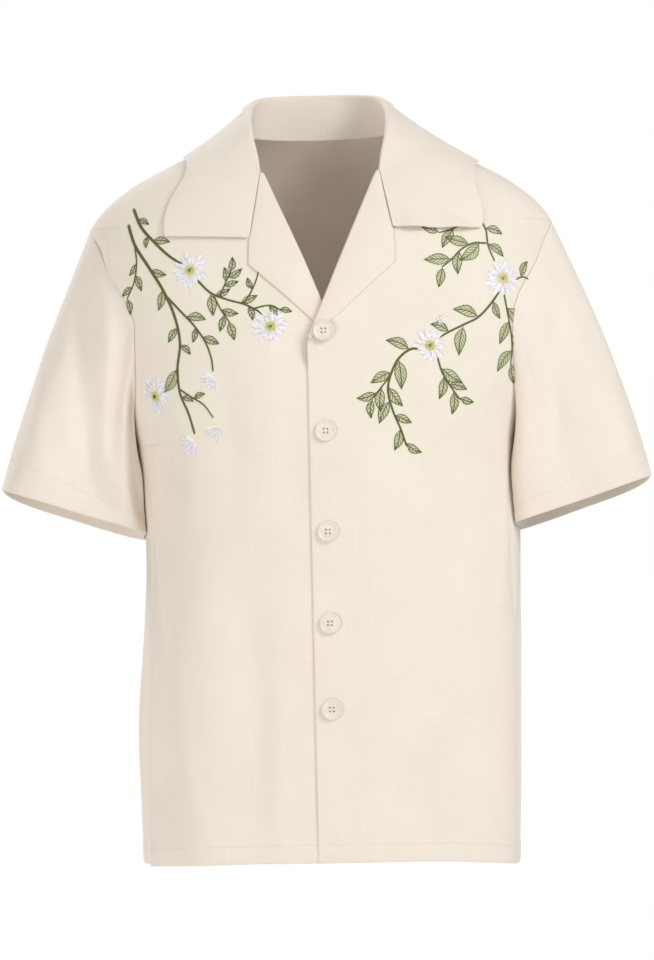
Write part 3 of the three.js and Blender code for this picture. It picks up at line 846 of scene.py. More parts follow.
    def small_folds(self, degrees: Array, z: Array) -> Array:
        """Creases and slight unevenness, which keep clear of the collar and the lapels."""
        turned = np.where(degrees < -95, degrees + 360, degrees)
        across = turned * self.MM_PER_DEGREE
        total = np.zeros(np.broadcast(degrees, z).shape)
        for crease in self.creases:
            total = total + crease.height(across, z)
        ripple = 0.35 * np.sin(across / 23 + z / 61) * np.sin(z / 37 - across / 71)
        ripple = ripple + 0.25 * np.sin(across / 11.3 - z / 83 + 1.3) * np.sin(z / 53 + 0.7)
        return total + ripple * below(z, self.UNEVEN_TOP, self.UNEVEN_FADE)

    def place(self, angle: Array, z: Array, lift: Array | float = 0) -> Array:
        """Points of the body's cloth, lifted off it by so much."""
        angle, z = np.broadcast_arrays(np.asarray(angle, float), np.asarray(z, float))
        out = self.folds(angle, z) + lift
        return self.plain(angle, z) + self.normal(angle, z) * out[..., None]

    def angle_at(self, x: Array, z: Array, back: bool = False) -> Array:
        """The angle at which the form reaches a distance from the centre line."""
        across = np.minimum(1, np.abs(x) / self.half(z))
        power = self.squareness
        forward = (1 - across**power) ** (1 / power)
        angle = np.arctan2(across, forward)
        return np.sign(x) * (math.pi - angle if back else angle)

    def armhole_angle(self, z: Array, back: bool) -> Array:
        """The angle of the side seam, the armhole or the shoulder seam at a height."""
        curve = self.armhole_back if back else self.armhole_front
        within = (z > self.underarm) & (z < self.shoulder_tip)
        held = np.clip(z, self.underarm, self.shoulder_tip)
        return np.where(within, self.angle_at(curve(held), held, back), math.pi / 2)

    def inner_edge(self, z: Array) -> Array:
        """Distance of a front's inner edge from the centre line: overlap, lapel's roll, neckline."""
        gorge_x, gorge_z = self.gorge
        part = (z - self.break_height) / (gorge_z - self.break_height)
        rolled = lerp(-self.overlap, gorge_x, np.clip(part, 0, 1))
        return np.where(z > gorge_z, self.neckline(z), rolled)

    def drop(self, x: Array, z: Array) -> Array:
        """How far the under front lies behind the top one at a place seen from the front."""
        start, full = 42, 3
        deep = lerp(self.underlap_drop, self.crossing_drop, smooth((z - self.break_height + 30) / 24))
        return deep * smooth((x - self.inner_edge(z) + start) / (start - full))

    def under(self, side: Side, angle: Array, z: Array) -> Array:
        """The drop at an unsigned angle: nothing on the top front."""
        if side is Side.LEFT:
            return np.zeros(np.broadcast(angle, z).shape)
        return self.drop(-self.plain(angle, z)[..., 0], np.asarray(z, float))

    def front(self, side: Side, x: Array, z: Array, lift: Array | float = 0) -> Array:
        """Points on a front by their distance from the centre line."""
        z = np.asarray(z, float)
        lowered = self.drop(-x, z) if side is Side.RIGHT else 0
        return self.place(self.angle_at(side.value * x, z), z, lift - lowered)

    def outside(self, points: Array) -> Array:
        """How far outside the form points lie, as a share of its size."""
        x, y, z = np.moveaxis(points, -1, 0)
        depth = np.where(y < 0, self.front_depth(z), self.back_depth(z))
        power = self.squareness
        across = np.abs(x - self.sway_at(z)) / self.half(z)
        return (across**power + (np.abs(y) / depth) ** power) ** (1 / power) - 1

    def clear(self, points: Array, clearance: Array) -> Array:
        """Move points out until they stand so far off the body's form."""
        probe = 0.25
        for _ in range(8):
            here = self.outside(points)
            slope = np.stack([self.outside(points + probe * axis) - here for axis in np.eye(3)], axis=-1) / probe
            steep = np.linalg.norm(slope, axis=-1)
            short = np.maximum(0, clearance - here / steep)
            points = points + slope / steep[..., None] * short[..., None]
        return points

    def notch(self, side: Side) -> Point:
        """The inner corner between collar and lapel."""
        return (68.5, -95.5 if side is Side.LEFT else -103.5)

    def per_mm(self, angle: Array, z: Array) -> Array:
        """The turn that moves a point round the form by a millimetre."""
        step = 1e-3
        return 2 * step / np.linalg.norm(self.plain(angle + step, z) - self.plain(angle - step, z), axis=-1)


HEM_TURNS = (45, 90, 135)


def hemmed(grid: Array, rows: int, depth: float, ring: bool = False) -> Array:
    """Turn a grid's last rows back inside as a hem.

    Args:
        grid: points whose last row is the hem's fold.
        rows: how many rows the turned part takes.
        depth: from the visible side to the turned part's inner side.
        ring: whether each row closes on itself.

    Returns:
        The grid with the fold's rows and the turned part added.
    """
    out = grid_normals(grid, ring)
    downward = unit(grid[-1] - grid[-2])
    added = []
    for turn in HEM_TURNS:
        centre = grid[-1] - out[-1] * depth / 2
        round_ = out[-1] * math.cos(turn * DEGREE) + downward * math.sin(turn * DEGREE)
        added.append(centre + round_ * depth / 2)
    for k in range(1, rows + 1):
        added.append(grid[-k] - out[-k] * depth)
    return np.concatenate([grid, np.stack(added)])


# ---------------------------------------------------------------- fronts and back


class SewnPiece:
    """What every cloth piece of the shirt shares: it stands for its solid."""

    @staticmethod
    def settle(piece: bpy.types.Object, node: str, flat: tuple[float, float], area: float,
               rests_on: list[str], held: str = "draped", with_pieces: list[str] | None = None) -> None:
        """Join the piece to the frame.

        Args:
            piece: the object.
            node: the solid that it stands for.
            flat: width and length it was cut to, in metres; not used.
            area: area of the cut, in square metres; not used.
            rests_on: what carries it; not used.
            held: how it hangs; not used.
            with_pieces: pieces sewn on it; not used.
        """
        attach(piece, "root")
        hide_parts(node)
        report(piece)


@dataclass
class Body(SewnPiece):
    """The two fronts with their facings, and the back."""

    form: BodyForm
    finishes: Finishes
    thick: float = 0.7
    edge: float = 1.5
    hem_rows: int = 14
    facing_columns: int = 13
    front_columns: int = 85
    back_columns: int = 156
    hem_width: float = 20
    stitch_up: float = 16
    facing: float = 46
    facing_top: float = 5

    def rows(self, top: float) -> Array:
        """Heights of the grid's rows, close together at the hem."""
        low = self.form.hem
        return spread(
            (low, 1.5), (low + 3, 3.4), (low + self.stitch_up - 2, 1.0), (low + self.stitch_up + 2, 2),
            (low + self.hem_width, 3.4), (self.form.underarm, 3), (self.form.break_height, 3),
            (self.form.shoulder_tip - 3, 1.5), (self.form.shoulder_tip, 1.5), (self.form.shoulder_tip + 3, 2.6),
            (self.form.gorge[1], 2.6), (top, 1),
        )

    def hem_relief(self, z: Array, across: Array) -> Array:
        """The hem's doubled thickness, its stitch groove and the ropy pull beside it."""
        up = z - self.form.hem
        puff = 0.45 * smooth(up / 3) * smooth((self.hem_width + 3 - up) / 5)
        groove = -0.45 * np.exp(-(((up - self.stitch_up) / 1.1) ** 2))
        beside = np.exp(-(((up - self.stitch_up) / 9) ** 2))
        rope = 0.22 * np.sin(across / 1.9 + up / 6 + 1.2 * np.sin(across / 17)) * beside
        wave = 0.5 * np.sin(across / 15 + 0.8 * np.sin(across / 41)) * smooth((40 - up) / 40)
        return puff + groove + rope + wave

    def seam_columns(self) -> tuple[Array, Array]:
        """Columns that curl in at a seam: distance short of the seam's middle and lift, in mm."""
        short = np.array([5, 2.6, 1.2, 0.5, 0.2, 0.12, 0.12, 0.12])
        lift = np.array([0, -0.08, -0.25, -0.5, -0.95, -2, -3.6, -6])
        return short, lift

    def front_grid(self, side: Side) -> tuple[Array, Array]:
        """Points and UV pairs of a front: facing, fold, outside and seam allowance in each row."""
        form = self.form
        z = self.rows(form.front_top)[:, None]
        mm = form.per_mm
        inner = form.angle_at(form.inner_edge(z), z)
        seam = form.armhole_angle(z, False)
        at_edge, at_seam = mm(inner, z), mm(seam, z)
        width = lerp(self.facing_top, self.facing, below(z, form.break_height - 12, 60))
        radius = self.edge / 2
        facing = inner + (radius + width * np.linspace(1, 0.06, self.facing_columns)) * at_edge
        turn = np.linspace(150, 30, 5) * DEGREE
        fold = inner + (radius - radius * np.sin(turn)) * at_edge
        short, seam_lift = self.seam_columns()
        start, end = inner + radius * at_edge, seam - short[:1] * at_seam
        outside = lerp(start, end, np.linspace(0, 1, self.front_columns + 1)[:-1])
        allowance = seam - short * at_seam
        angle = np.concatenate([facing, fold, outside, allowance], axis=1)
        lift = np.concatenate([
            np.full(self.facing_columns, -self.edge), -radius + radius * np.cos(turn),
            np.zeros(self.front_columns), seam_lift])
        lift = lift - form.under(side, angle, z)
        across = form.across(angle)
        lift = lift + self.hem_relief(z, across)
        grid = form.place(side.value * angle, z + 0 * angle, lift)
        uv = self.threads(side.value * angle, z)
        if side is Side.RIGHT:
            grid, uv = grid[:, ::-1], uv[:, ::-1]
        return self.turned_hem(grid, uv)

    def turned_hem(self, grid: Array, uv: Array) -> tuple[Array, Array]:
        """Turn the hem of a body panel, whose first row is the fold, and give its UV pairs the same rows."""
        rows = self.hem_rows
        out = hemmed(grid[::-1, ::-1], rows, self.edge)
        return out[::-1, ::-1], np.concatenate([uv[rows - 1::-1], uv[[0] * len(HEM_TURNS)], uv])

    def threads(self, angle: Array, z: Array) -> Array:
        """UV pairs whose threads hang straight: round the form and up it, in millimetres."""
        form = self.form
        heights = np.arange(form.hem - 20, form.neck_top + 10, 2.0)
        line = form.plain(np.full(len(heights), math.pi / 4), heights)
        walked = lengths_along(line)
        angle, z = np.broadcast_arrays(angle, z)
        return np.stack([angle * form.half(z), np.interp(z, heights, walked)], axis=-1)

    def back_grid(self) -> tuple[Array, Array]:
        """Points and UV pairs of the back."""
        form = self.form
        z = self.rows(form.neck_top)[:, None]
        seam = form.armhole_angle(z, True)
        at_seam = form.per_mm(seam, z)
        short, seam_lift = self.seam_columns()
        start = seam + short * at_seam
        end = 2 * math.pi - start
        middle = lerp(start[:, :1], end[:, :1], np.linspace(0, 1, self.back_columns + 2)[1:-1])
        angle = np.concatenate([start[:, ::-1], middle, end], axis=1)
        lift = np.concatenate([seam_lift[::-1], np.zeros(self.back_columns), seam_lift])
        across = form.across(angle)
        grid = form.place(angle, z + 0 * angle, lift + self.hem_relief(z, across))
        return self.turned_hem(grid, self.threads(angle - math.pi, z))

    def build(self, washes: dict[Side, Callable[[Array], Array]]) -> None:
        """Make the three panels.

        Args:
            washes: for each side, how strong the wash is at some points.
        """
        for side in Side:
            grid, uv = self.front_grid(side)
            parts = MeshParts()
            parts.shell(grid, self.thick, wash=washes[side](grid), uv=uv)
            piece = parts.object(f"cloth_front_{side.word}", [self.finishes(Finishes.CLOTH)])
            rests_on = ["cloth_back", f"cloth_sleeve_{side.word}"]
            self.settle(piece, f"front_{side.word}", (0.36, 0.76), 0.21, rests_on)
        parts = MeshParts()
        grid, uv = self.back_grid()
        parts.shell(grid, self.thick, uv=uv)
        piece = parts.object("cloth_back", [self.finishes(Finishes.CLOTH)])
        self.settle(piece, "back", (0.62, 0.76), 0.37, ["cloth_front_left", "cloth_front_right"])


# ---------------------------------------------------------------- lapels


@dataclass
class Lapels(SewnPiece):
    """The turned-out tops of the two fronts."""

    form: BodyForm
    finishes: Finishes
    thick: float = 1.0
    cloth: float = 1.2
    wall_gap: float = 0.6
    lift: float = 1.2
    belly: float = 1.4
    fold_back: float = 5
    full_span: float = 60
    seam: float = 0.3
    corner: Point = (69.5, -129)

    # how far down the roll a rib starts, and where it ends on the outline, whose corners are
    # the gorge 0, the notch 1, the corner 2 and the break 3
    RIBS = (
        (0.012, 0.03), (0.035, 0.1), (0.08, 0.3), (0.13, 0.55), (0.18, 0.8), (0.23, 1), (0.3, 1.5), (0.37, 2),
        (0.43, 2.11), (0.49, 2.22), (0.55, 2.33), (0.61, 2.44), (0.67, 2.55), (0.73, 2.65), (0.79, 2.74),
        (0.85, 2.82), (0.9, 2.885), (0.945, 2.93), (0.972, 2.962),
    )

    def grid(self, side: Side) -> Array:
        """Points of a lapel: return inside the neck, roll and leaf in each rib."""
        form = self.form
        roll = spread(*((at, 0.008) for at, _ in self.RIBS))
        outline = np.interp(roll, *zip(*self.RIBS))
        corners = np.array([form.gorge, form.notch(side), self.corner, (-form.overlap, form.break_height)])
        free = np.stack([np.interp(outline, range(4), corners[:, k]) for k in (0, 1)], axis=-1)
        free[outline < 1, 0] -= self.seam
        rolled = np.stack([
            lerp(form.gorge[0], -form.overlap, roll),
            lerp(form.gorge[1], form.break_height, roll)], axis=-1)
        span = np.hypot(*(free - rolled).T)[:, None]
        wrap = self.cloth / 2 + self.wall_gap + self.cloth
        size = np.minimum(1, span / self.full_span)
        turn = np.linspace(-90, 90, 11) * DEGREE
        leaf = np.linspace(0, 1, 31)[1:]
        inside = np.minimum(0.9, self.fold_back / span) * np.array([[1, 0.5]])
        beyond = -wrap * np.cos(turn) / span
        place = np.concatenate([inside, beyond, leaf + 0 * span], axis=1)
        stand = lerp(self.wall_gap, self.lift, size) + self.cloth
        rise = lerp(wrap - self.cloth / 2, stand, smooth(leaf * 2)) + self.belly * size * np.sin(math.pi * leaf)
        rise = rise - 0.35 * smooth((leaf - 0.9) / 0.1)
        lifts = np.concatenate([
            np.full((len(roll), 2), -self.cloth / 2 - wrap),
            wrap * np.sin(turn) - self.cloth / 2 + 0 * span, rise], axis=1)
        x = lerp(rolled[:, :1], free[:, :1], place)
        z = lerp(rolled[:, 1:], free[:, 1:], place)
        grid = form.front(side, x, z, lifts)
        return grid[::-1] if side is Side.LEFT else grid

    def build(self) -> None:
        """Make the two lapels."""
        for side in Side:
            parts = MeshParts()
            parts.shell(self.grid(side), self.thick)
            piece = parts.object(f"cloth_lapel_{side.word}", [self.finishes(Finishes.CLOTH)])
            rests_on = [f"cloth_front_{side.word}"]
            self.settle(piece, f"lapel_{side.word}", (0.075, 0.18), 0.0072, rests_on, "folded")


# ---------------------------------------------------------------- collar


@dataclass
class Collar(SewnPiece):
    """The one-piece collar: stand, roll and two leaves, the wearer's left one spread a little wider."""

    form: BodyForm
    finishes: Finishes
    thick: float = 1.1
    cloth: float = 1.2
    seam: float = 0.3
    lift: float = 2.4
    belly: float = 0.8
    wall_gap: float = 0.6
    bow: float = -1.5
    fold_back: float = 3
    fold_front: float = 1.9
    wave_dip: float = 2.0
    wave_ripple: float = 0.7
    wave_lift: float = 4.5

    # along the collar from the centre back; top of the roll x, y, z; height of the neck seam
    ROLL = (
        (0, 0, 68, 54, 8), (0.09, 17, 66.8, 53.8, 8), (0.2, 37, 58, 52, 8), (0.36, 57, 32, 46, 8),
        (0.5, 63, 4, 34, 8), (0.61, 64.5, -33, 21, 3), (0.72, 63.5, -61, 1, -8), (0.86, 59.6, -74, -20, -23),
        (1, 57.3, -82, -35.7, -37),
    )
    # along the collar; its outer edge on the body, left then right: angle and height
    EDGE = (
        (0, 180, -24, 180, -24), (0.2, 148, -24, 146, -22), (0.38, 114, -25, 114, -18), (0.48, 88, -26, 86, -16),
        (0.56, 58.5, -34, 56, -24), (0.64, 43.8, -60, 42.8, -43), (0.74, 39.6, -97, 38.2, -99),
    )

    def edge(self, side: Side, along: Array) -> Array:
        """The outer edge: round the shoulder to the point, then straight to the notch."""
        places, left, left_z, right, right_z = zip(*self.EDGE)
        chosen = (left, left_z) if side is Side.LEFT else (right, right_z)
        angle, height = (Curve(places, column) for column in chosen)
        point_at = places[-1]
        lift = self.lift + self.cloth
        round_ = self.form.place(side.value * angle(along) * DEGREE, height(along), lift)
        point = self.form.plain(angle(1.0) * DEGREE, height(1.0))
        t = np.clip((along - point_at) / (1 - point_at), 0, 1)
        notch = self.form.notch(side)
        x = lerp(point[0], notch[0] + self.seam, t)
        z = lerp(point[2], notch[1], t)
        if side is Side.LEFT:
            z = z - (self.wave_dip * np.sin(math.pi * t) ** 2 + self.wave_ripple * np.sin(3 * math.pi * t))
            lift = lift + self.wave_lift * np.sin(2 * math.pi * t) ** 2
        straight = self.form.front(side, x, z, lift)
        return np.where((along <= point_at)[:, None], round_, straight)

    def ribs(self, side: Side, along: Array) -> Array:
        """Ribs from the neck seam over the roll to the outer edge."""
        form = self.form
        places, *columns = zip(*self.ROLL)
        x, y, z, seam_z = (Curve(places, column)(along) for column in columns)
        at_neckline = form.angle_at(form.neckline(seam_z), seam_z)
        front_angle = np.where(seam_z >= form.neck_top, math.pi / 2, at_neckline)
        angle = np.where(along <= 0.5, lerp(math.pi, math.pi / 2, along * 2), front_angle)
        foot = form.place(side.value * angle, seam_z, self.seam + self.cloth / 4)
        edge = self.edge(side, along)
        top = np.stack([side.value * x, y, z], axis=-1)
        front = smooth((along - 0.6) / 0.4)[:, None]
        radius = lerp(self.fold_back, self.fold_front, front)
        up = unit(top - foot)
        leafward = edge - top
        leafward = unit(leafward - up * dot(leafward, up))
        centre = top - up * radius + leafward * radius
        reach = edge - centre
        slope = np.arctan2(-dot(reach, up), dot(reach, leafward))
        length = np.linalg.norm(reach, axis=-1, keepdims=True)
        last = math.pi / 2 + slope + np.arcsin(np.minimum(1, radius / length))
        shoulder = top - up * radius
        rows = [lerp(foot, shoulder, t) for t in (0, 0.2, 0.4, 0.6, 0.8)]
        for part in np.linspace(0, 1, 11):
            turn = last * part
            rows.append(centre - leafward * radius * np.cos(turn) + up * radius * np.sin(turn))
        start = rows[-1]
        bowing = unit(np.cross(reach, np.cross(up, leafward)))
        for t in np.linspace(0, 1, 25)[1:]:
            point = lerp(start, edge, t) + bowing * self.bow * math.sin(math.pi * t)
            off = self.cloth + lerp(self.wall_gap + self.belly * (1 - front[:, 0]), self.lift, t)
            cleared = form.clear(point, off + self.belly * math.sin(math.pi * t))
            rows.append(cleared if t < 1 else edge)
        return np.stack(rows, axis=1)

    def grid(self) -> Array:
        """Points of the whole collar, from the left gorge round the back to the right one."""
        point_at = self.EDGE[-1][0]
        along = spread((1, 0.008), (point_at, 0.008), (0, 0.01))
        left = self.ribs(Side.LEFT, along)
        right = self.ribs(Side.RIGHT, along[:-1][::-1])
        return np.concatenate([left, right])

    def build(self) -> None:
        """Make the collar."""
        parts = MeshParts()
        parts.shell(self.grid(), self.thick)
        piece = parts.object("cloth_collar", [self.finishes(Finishes.CLOTH)])
        self.settle(piece, "collar", (0.5, 0.19), 0.068,
                    ["cloth_front_left", "cloth_front_right", "cloth_back"], "folded")


# ---------------------------------------------------------------- sleeves


@dataclass(frozen=True)
class SleeveCrease:
    """One soft trough or ridge of a sleeve, between two places, each a turn round it and a part down."""

    start: Point
    end: Point
    width: float
    depth: float

    def height(self, turn: Array, down: Array) -> Array:
        """How far it moves the cloth out."""
        part = (down - self.start[1]) / (self.end[1] - self.start[1])
        middle = lerp(self.start[0], self.end[0], np.clip(part, 0, 1))
        off = turn - middle
        off = off - np.round(off)
        ends = smooth(part / 0.3 + 0.1) * smooth((1 - part) / 0.35 + 0.1)
        return self.depth * ends * np.exp(-((off / self.width) ** 2))


@dataclass
class Sleeves(SewnPiece):
    """The two short sleeves, hanging a little away from the body."""

    form: BodyForm
    finishes: Finishes
    thick: float = 0.7
    edge: float = 1.5
    outer: Point = (318, -336)
    inner: Point = (168, -384)
    middle_y: float = 4
    depth: float = 62
    back_drop: float = 9
    power: float = 2.9
    clearance: float = 1.6
    belly: dict[Side, float] = field(default_factory=lambda: {Side.LEFT: 8, Side.RIGHT: 5})
    step: float = 0.15
    underarm_step: float = 0.75
    underarm_top: float = -180
    underarm_fade: float = 60
    gap: float = 0.12
    hem_width: float = 25
    hem_rows: int = 9
    drawn_length: float = 250
    drawn_girth: float = 420

    # turn round the sleeve from the top through the front, width, depth, part down where it starts
    FOLDS = ((0.13, 0.045, 4, 0.1), (0.24, 0.05, -5, 0.05), (0.36, 0.05, 5, 0.15), (0.66, 0.05, 5, 0.2),
             (0.79, 0.05, -5, 0.1))
    CREASES = {
        Side.RIGHT: (
            SleeveCrease((0.08, 0.12), (0.33, 1.05), 0.034, -5.5),
            SleeveCrease((0.15, 0.0), (0.35, 0.95), 0.03, 4.0),
            SleeveCrease((0.235, -0.05), (0.325, 1.05), 0.03, -4.5),
            SleeveCrease((0.335, -0.1), (0.395, 1.1), 0.03, -8.5),
            SleeveCrease((0.43, 0.2), (0.462, 1.15), 0.034, 6.5),
            SleeveCrease((0.28, 0.1), (0.36, 1.0), 0.022, 2.2),
            SleeveCrease((0.04, 0.35), (0.23, 1.1), 0.038, 3.4),
            SleeveCrease((0.90, 0.1), (0.70, 1.05), 0.034, -4.5),
            SleeveCrease((0.83, 0.0), (0.655, 0.95), 0.03, 3.2),
            SleeveCrease((0.76, 0.0), (0.62, 1.05), 0.03, -4.8),
            SleeveCrease((0.95, 0.35), (0.80, 1.1), 0.036, 2.6),
        ),
        Side.LEFT: (
            SleeveCrease((0.10, 0.05), (0.30, 0.85), 0.03, -2.6),
            SleeveCrease((0.17, 0.0), (0.34, 0.9), 0.03, 2.0),
            SleeveCrease((0.42, 0.05), (0.445, 1.15), 0.04, 7.0),
            SleeveCrease((0.05, 0.4), (0.17, 1.1), 0.034, 1.8),
            SleeveCrease((0.88, 0.1), (0.72, 1.05), 0.034, -3.6),
            SleeveCrease((0.81, 0.0), (0.67, 0.95), 0.03, 2.8),
            SleeveCrease((0.77, 0.1), (0.63, 1.05), 0.03, -3.8),
            SleeveCrease((0.94, 0.4), (0.83, 1.1), 0.034, 2.0),
        ),
    }

    def half(self, back: bool) -> tuple[Array, Array, Array]:
        """Half of the armhole, from the shoulder tip down.

        Args:
            back: whether it is the half behind.

        Returns:
            Points on the seam, the outward direction at each, and its share of the half's length.
        """
        form = self.form
        z = spread((form.shoulder_tip, 0.8), (form.shoulder_tip - 8, 2), (-160, 2.6), (form.underarm, 1))
        angle = form.armhole_angle(z, back)
        line = form.place(angle, z)
        walked = lengths_along(line)
        along = np.gradient(line, axis=0)
        outward = form.normal(angle, z)
        away = np.cross(along, outward) if back else np.cross(outward, along)
        low = below(z, self.underarm_top, self.underarm_fade)[:, None]
        points = line + unit(away) * self.gap + outward * (self.step + self.underarm_step * low)
        return points, outward, walked / walked[-1]

    def ring(self) -> tuple[Array, Array, Array]:
        """The whole armhole of the wearer's left: points, outward directions and turns from 0 to 1."""
        front, front_out, front_part = self.half(False)
        back, back_out, back_part = (values[1:-1][::-1] for values in self.half(True))
        return (np.concatenate([front, back]), np.concatenate([front_out, back_out]),
                np.concatenate([front_part / 2, 1 - back_part / 2]))

    def cuff(self, turn: Array) -> Array:
        """The hem ring, seen nearly edge on, which dips at the back."""
        angle = turn * 2 * math.pi
        power = self.power
        size = (np.abs(np.cos(angle)) ** power + np.abs(np.sin(angle)) ** power) ** (-1 / power)
        across = (1 + np.cos(angle) * size) / 2
        behind = -np.sin(angle) * size
        x = lerp(self.inner[0], self.outer[0], across)
        z = lerp(self.inner[1], self.outer[1], across) - self.back_drop * np.maximum(0, behind)
        return np.stack([x, self.middle_y + self.depth * behind, z], axis=-1)

    def relief(self, side: Side, turn: Array, down: Array) -> Array:
        """Folds, creases and the hem's stitched thickness."""
        total = np.zeros(np.broadcast(turn, down).shape)
        for at, width, depth, start in self.FOLDS:
            fade = smooth((down - start) / 0.5)
            total = total + depth * fade * np.exp(-(((turn - at) / width) ** 2))
        for crease in self.CREASES[side]:
            total = total + crease.height(turn, down)
        up = (1 - down) * self.drawn_length
        around = turn * self.drawn_girth
        puff = 0.25 * smooth(up / 3) * smooth((self.hem_width + 3 - up) / 5)
        groove = -0.3 * np.exp(-(((up - self.hem_width) / 1.3) ** 2))
        rope = 0.14 * np.sin(around / 1.9 + up / 6) * np.exp(-(((up - self.hem_width) / 10) ** 2))
        uneven = 0.4 * np.sin(around / 19 + up / 40) * np.sin(up / 31) * smooth(down * 4)
        return total + (puff + groove + rope) * smooth(down * 4) + uneven

    def beside_body(self, side: Side, points: Array) -> Array:
        """Keep points of the sleeve clear of the body below the underarm."""
        mirror = np.array([side.value, 1, 1])
        clearance = self.clearance * below(points[..., 2], self.form.underarm + 10, 40)
        cleared = self.form.clear(points * mirror, clearance) * mirror
        return np.where((clearance > 0)[..., None], cleared, points)

    def grid(self, side: Side) -> Array:
        """Points of a sleeve, drawn as the left one: seam allowance, then rings down to the turned hem."""
        ring, outward, turn = self.ring()
        down = spread((0, 0.008), (0.03, 0.0135), (0.88, 0.005), (0.92, 0.012), (1, 1))[:, None]
        top, bottom = ring.mean(axis=0), self.cuff(turn).mean(axis=0)
        centre = lerp(top, bottom, down)[:, None, :]
        points = lerp(ring[None], self.cuff(turn)[None], down[..., None])
        out = unit(points - centre)
        upper = np.maximum(0, np.cos(turn * 2 * math.pi))[None]
        bow = self.belly[side] * upper * 4 * down * (1 - down)
        relief = self.relief(side, turn[None], down) * smooth(down * 12)
        shaped = points + out * (bow + relief)[..., None]
        shaped = self.beside_body(side, shaped)
        dip = -0.35 * np.exp(-((down / 0.008) ** 2))
        shaped = shaped + outward[None] * dip[..., None]
        allowance = np.stack([ring + outward * depth for depth in (-6, -3.5, -1.9, -0.9)])
        return hemmed(np.concatenate([allowance, shaped]), self.hem_rows, self.edge, True)

    def build(self) -> None:
        """Make the two sleeves."""
        for side in Side:
            grid = self.grid(side)
            if side is Side.RIGHT:
                grid = grid[:, ::-1] * (-1, 1, 1)
            parts = MeshParts()
            parts.shell(grid, self.thick, True)
            piece = parts.object(f"cloth_sleeve_{side.word}", [self.finishes(Finishes.CLOTH)])
            rests_on = [f"cloth_front_{side.word}", "cloth_back"]
            self.settle(piece, f"sleeve_{side.word}", (0.46, 0.3), 0.088, rests_on, "hung")


# ---------------------------------------------------------------- sewing


@dataclass
class Sewing:
    """Rows of small straight stitches at the hems."""

    form: BodyForm
    body: Body
    sleeves: Sleeves
    finishes: Finishes
    pitch: float = 3.2
    length: float = 2.5
    width: float = 0.55
    height: float = 0.45
    samples: int = 500
    margin: float = 0.01

    def row(self, parts: MeshParts, path: Array, out: Array) -> None:
        """Lay stitches along a path.

        Args:
            parts: what they are gathered in.
            path: closely spaced points on the cloth.
            out: the cloth's outward direction at each.
        """
        walked = lengths_along(path)
        for start in np.arange(self.pitch / 2, walked[-1] - self.pitch, self.pitch):
            at = start + self.length * np.array([0, 0.15, 0.5, 0.85, 1])
            points = np.stack([np.interp(at, walked, path[:, k]) for k in range(3)], axis=-1)
            outs = unit(np.stack([np.interp(at, walked, out[:, k]) for k in range(3)], axis=-1))
            arch = np.array([-0.2, 0.02, 0.1, 0.02, -0.2])[:, None]
            parts.tube(points + outs * arch, outs, self.width, self.height)

    def build(self) -> None:
        """Sew the body's hem and the two sleeve hems."""
        form, body = self.form, self.body
        thread = [self.finishes(Finishes.SEWING)]
        parts = MeshParts()
        z = form.hem + body.stitch_up
        edge = form.angle_at(form.inner_edge(np.array(z)), np.array(z))
        heights = np.full(self.samples, z)
        front = (edge + self.margin, math.pi / 2 - self.margin)
        back = (math.pi / 2 + self.margin, 1.5 * math.pi - self.margin)
        for (start, end), sign in ((front, 1), (front, -1), (back, 1)):
            angle = np.linspace(start, end, self.samples)
            across = form.across(angle)
            lift = body.hem_relief(heights, across)
            if sign < 0:
                lift = lift - form.under(Side.RIGHT, angle, heights)
            self.row(parts, form.place(sign * angle, heights, lift), form.normal(sign * angle, heights))
        dress(parts, "hem_stitches", thread)
        parts = MeshParts()
        for side in Side:
            grid = self.sleeves.grid(side)
            out = grid_normals(grid, True)
            count = len(grid) - self.sleeves.hem_rows - len(HEM_TURNS)
            below = np.linalg.norm(np.diff(grid[:count], axis=0), axis=-1)[::-1].cumsum(axis=0)
            row = count - 1 - int(np.argmin(np.abs(below.mean(axis=1) - self.sleeves.hem_width)))
            mirror = (side.value, 1, 1)
            ring, outs = (np.concatenate([values[row], values[row][:1]]) * mirror for values in (grid, out))
            self.row(parts, ring, outs)
        dress(parts, "sleeve_hem_stitches", thread)


# ---------------------------------------------------------------- buttons


